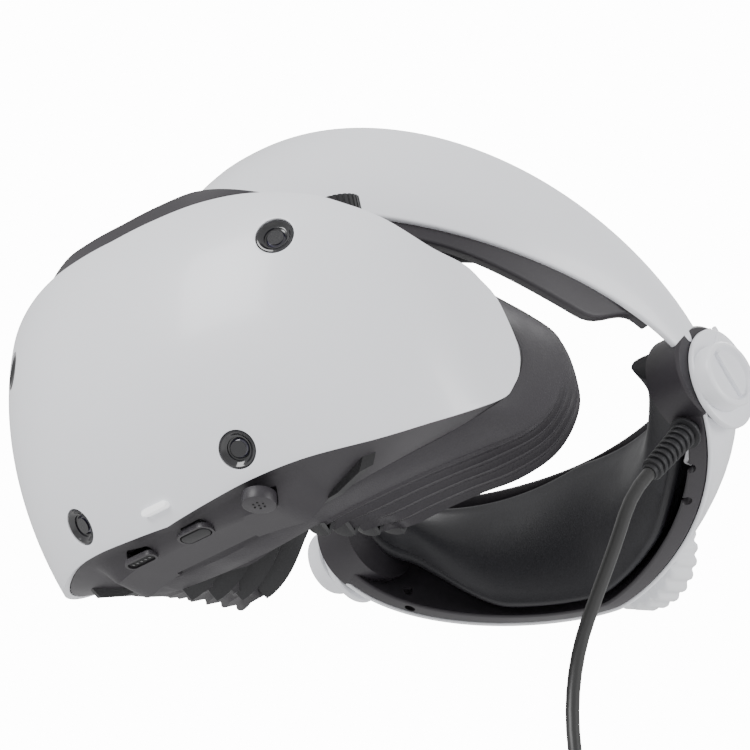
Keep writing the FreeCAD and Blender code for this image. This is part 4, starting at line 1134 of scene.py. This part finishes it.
def make_carried():
    """Dresses the frame's own pieces that show as they are."""
    for material, names in CARRIED.items():
        for name in names:
            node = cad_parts[name]
            node.data.materials.clear()
            node.data.materials.append(look(material))
            for p in node.data.polygons:
                p.material_index = 0


# ------------------------------------------------------------------ stage
# Directions of the view: to its right, up, and back towards the camera.
RIGHT = Vector((0.6917, 0.6911, -0.2096))
UP = Vector((0.3428, -0.0588, 0.9376))
BACK = Vector((0.6356, -0.7204, -0.2776))
FLOOR_Z, FLOOR_HALF = -1.25, 9
# name: metres to the right, up and back, size in metres, watts
LAMPS = {"key": (-1.5, 1.4, 1.0, 1.2, 46), "fill": (2.0, 0.5, 1.0, 1.0, 24),
         "under": (0.4, -1.6, 1.4, 1.0, 5), "rim": (0.9, 1.2, -1.6, 1.2, 22)}


def make_floor():
    floor = bpy.data.meshes.new("floor")
    corners = [(x * FLOOR_HALF, y * FLOOR_HALF, FLOOR_Z) for x, y in ((-1, -1), (1, -1), (1, 1), (-1, 1))]
    floor.from_pydata(corners, [], [(0, 1, 2, 3)])
    m = bpy.data.materials.new("pale_floor")
    m.use_nodes = True
    shader = m.node_tree.nodes["Principled BSDF"]
    shader.inputs["Base Color"].default_value = (0.9, 0.9, 0.9, 1)
    shader.inputs["Roughness"].default_value = 0.7
    floor.materials.append(m)
    linked("floor", floor)


def make_surround():
    """White surround: bright where the camera sees it, softer as light on the pieces."""
    world = bpy.data.worlds.new("studio")
    bpy.context.scene.world = world
    world.use_nodes = True
    n, link = world.node_tree.nodes, world.node_tree.links.new
    n.clear()
    seen, lit = n.new("ShaderNodeBackground"), n.new("ShaderNodeBackground")
    seen.inputs["Color"].default_value = lit.inputs["Color"].default_value = (1, 1, 1, 1)
    seen.inputs["Strength"].default_value = 14.0
    lit.inputs["Strength"].default_value = bpy.context.scene.headset_colours.sky
    path, mixed = n.new("ShaderNodeLightPath"), n.new("ShaderNodeMixShader")
    out = n.new("ShaderNodeOutputWorld")
    link(path.outputs["Is Camera Ray"], mixed.inputs["Fac"])
    link(lit.outputs["Background"], mixed.inputs[1])
    link(seen.outputs["Background"], mixed.inputs[2])
    link(mixed.outputs["Shader"], out.inputs["Surface"])


def make_stage():
    make_floor()
    make_surround()
    for name, (right, up, back, size, watts) in LAMPS.items():
        data = bpy.data.lights.new(name, "AREA")
        data.energy, data.size = watts, size
        lamp = linked(name, data)
        lamp.location = RIGHT * right + UP * up + BACK * back
        lamp.rotation_euler = (-lamp.location).to_track_quat("-Z", "Y").to_euler()
    data = bpy.data.cameras.new("view")
    data.sensor_width, data.lens, data.clip_end = 36.0, 376.3, 50
    camera = linked("view", data)
    spot = Vector((0, -36, 5)) + RIGHT * 10.84 + UP * 11.45 + BACK * 2850.9
    turn = Matrix((RIGHT, UP, BACK)).transposed()
    camera.matrix_world = Matrix.Translation(spot * MM) @ turn.to_4x4()
    bpy.context.scene.camera = camera


# ------------------------------------------------------------------ add-on
class HeadsetColours(bpy.types.PropertyGroup):
    shell_colour: bpy.props.FloatVectorProperty(
        name="Shell", description="Colour of the pale shells", subtype="COLOR", size=3,
        min=0, max=1, default=(0.86, 0.87, 0.91))
    body_colour: bpy.props.FloatVectorProperty(
        name="Body", description="Colour of the dark visor body", subtype="COLOR", size=3,
        min=0, max=1, default=(0.026, 0.023, 0.028))
    pad_colour: bpy.props.FloatVectorProperty(
        name="Pads", description="Colour of the padded faces", subtype="COLOR", size=3,
        min=0, max=1, default=(0.014, 0.014, 0.018))
    dial_colour: bpy.props.FloatVectorProperty(
        name="Dial", description="Colour of the rear dial", subtype="COLOR", size=3,
        min=0, max=1, default=(0.80, 0.82, 0.84))
    bar_glow: bpy.props.FloatProperty(
        name="Bar glow", description="Strength of the light bar", default=0.6, min=0)
    sky: bpy.props.FloatProperty(
        name="Surround", description="Strength of the plain studio surround", default=0.85, min=0)


def operator(word, label, text, work):
    """One operator class for a piece or a group of like pieces."""
    def execute(self, context):
        work()
        return {"FINISHED"}
    return type("HEADSET_OT_" + word, (bpy.types.Operator,),
                {"bl_idname": "headset." + word, "bl_label": label, "__doc__": text,
                 "execute": execute})


STEPS = [
    ("stage", "Stage", "Adds the floor, the light and the camera", make_stage),
    ("lead", "Lead", "Adds the lead with its coil and tie", make_cord),
    ("front", "Front shell", "Adds the white front shell", make_front_shell),
    ("body", "Visor body", "Adds the dark body of the visor", make_visor_body),
    ("shield", "Light shield", "Adds the light shield", make_light_shield),
    ("bellows", "Nose bellows", "Adds the folded walls at the nose", make_nose_bellows),
    ("halo", "Front band", "Adds the front band, its liner and its pad", make_halo),
    ("rear", "Rear section", "Adds the rear cover, its plate and its cushion", make_rear),
    ("caps", "Side caps", "Adds the round side bosses", make_side_caps),
    ("dial", "Rear dial", "Adds the rear dial and its release", make_dial),
    ("cameras", "Cameras", "Adds the four tracking cameras", make_cameras),
    ("keys", "Keys", "Adds the keys, microphone and light bar", make_underside),
    ("relief", "Strain relief", "Adds the ribbed sleeve of the lead", make_strain_relief),
    ("carried", "Carried pieces", "Dresses the CAD pieces that show as they are", make_carried),
]
OPERATORS = [operator(*step) for step in STEPS]


class HEADSET_PT_panel(bpy.types.Panel):
    """Lists what can be built and the colours that can be changed"""
    bl_label = "Headset"
    bl_idname = "HEADSET_PT_panel"
    bl_space_type = "VIEW_3D"
    bl_region_type = "UI"
    bl_category = "Headset"

    def draw(self, context):
        colours = context.scene.headset_colours
        for name in ("shell_colour", "body_colour", "pad_colour", "dial_colour", "bar_glow", "sky"):
            self.layout.prop(colours, name)
        for kind in OPERATORS:
            self.layout.operator(kind.bl_idname)


CLASSES = [HeadsetColours, *OPERATORS, HEADSET_PT_panel]


def register():
    for kind in CLASSES:
        bpy.utils.register_class(kind)
    bpy.types.Scene.headset_colours = bpy.props.PointerProperty(type=HeadsetColours)


def unregister():
    del bpy.types.Scene.headset_colours
    for kind in reversed(CLASSES):
        bpy.utils.unregister_class(kind)


def main():
    register()
    for word, *_ in STEPS:
        getattr(bpy.ops.headset, word)()


if __name__ == "__main__":
    main()
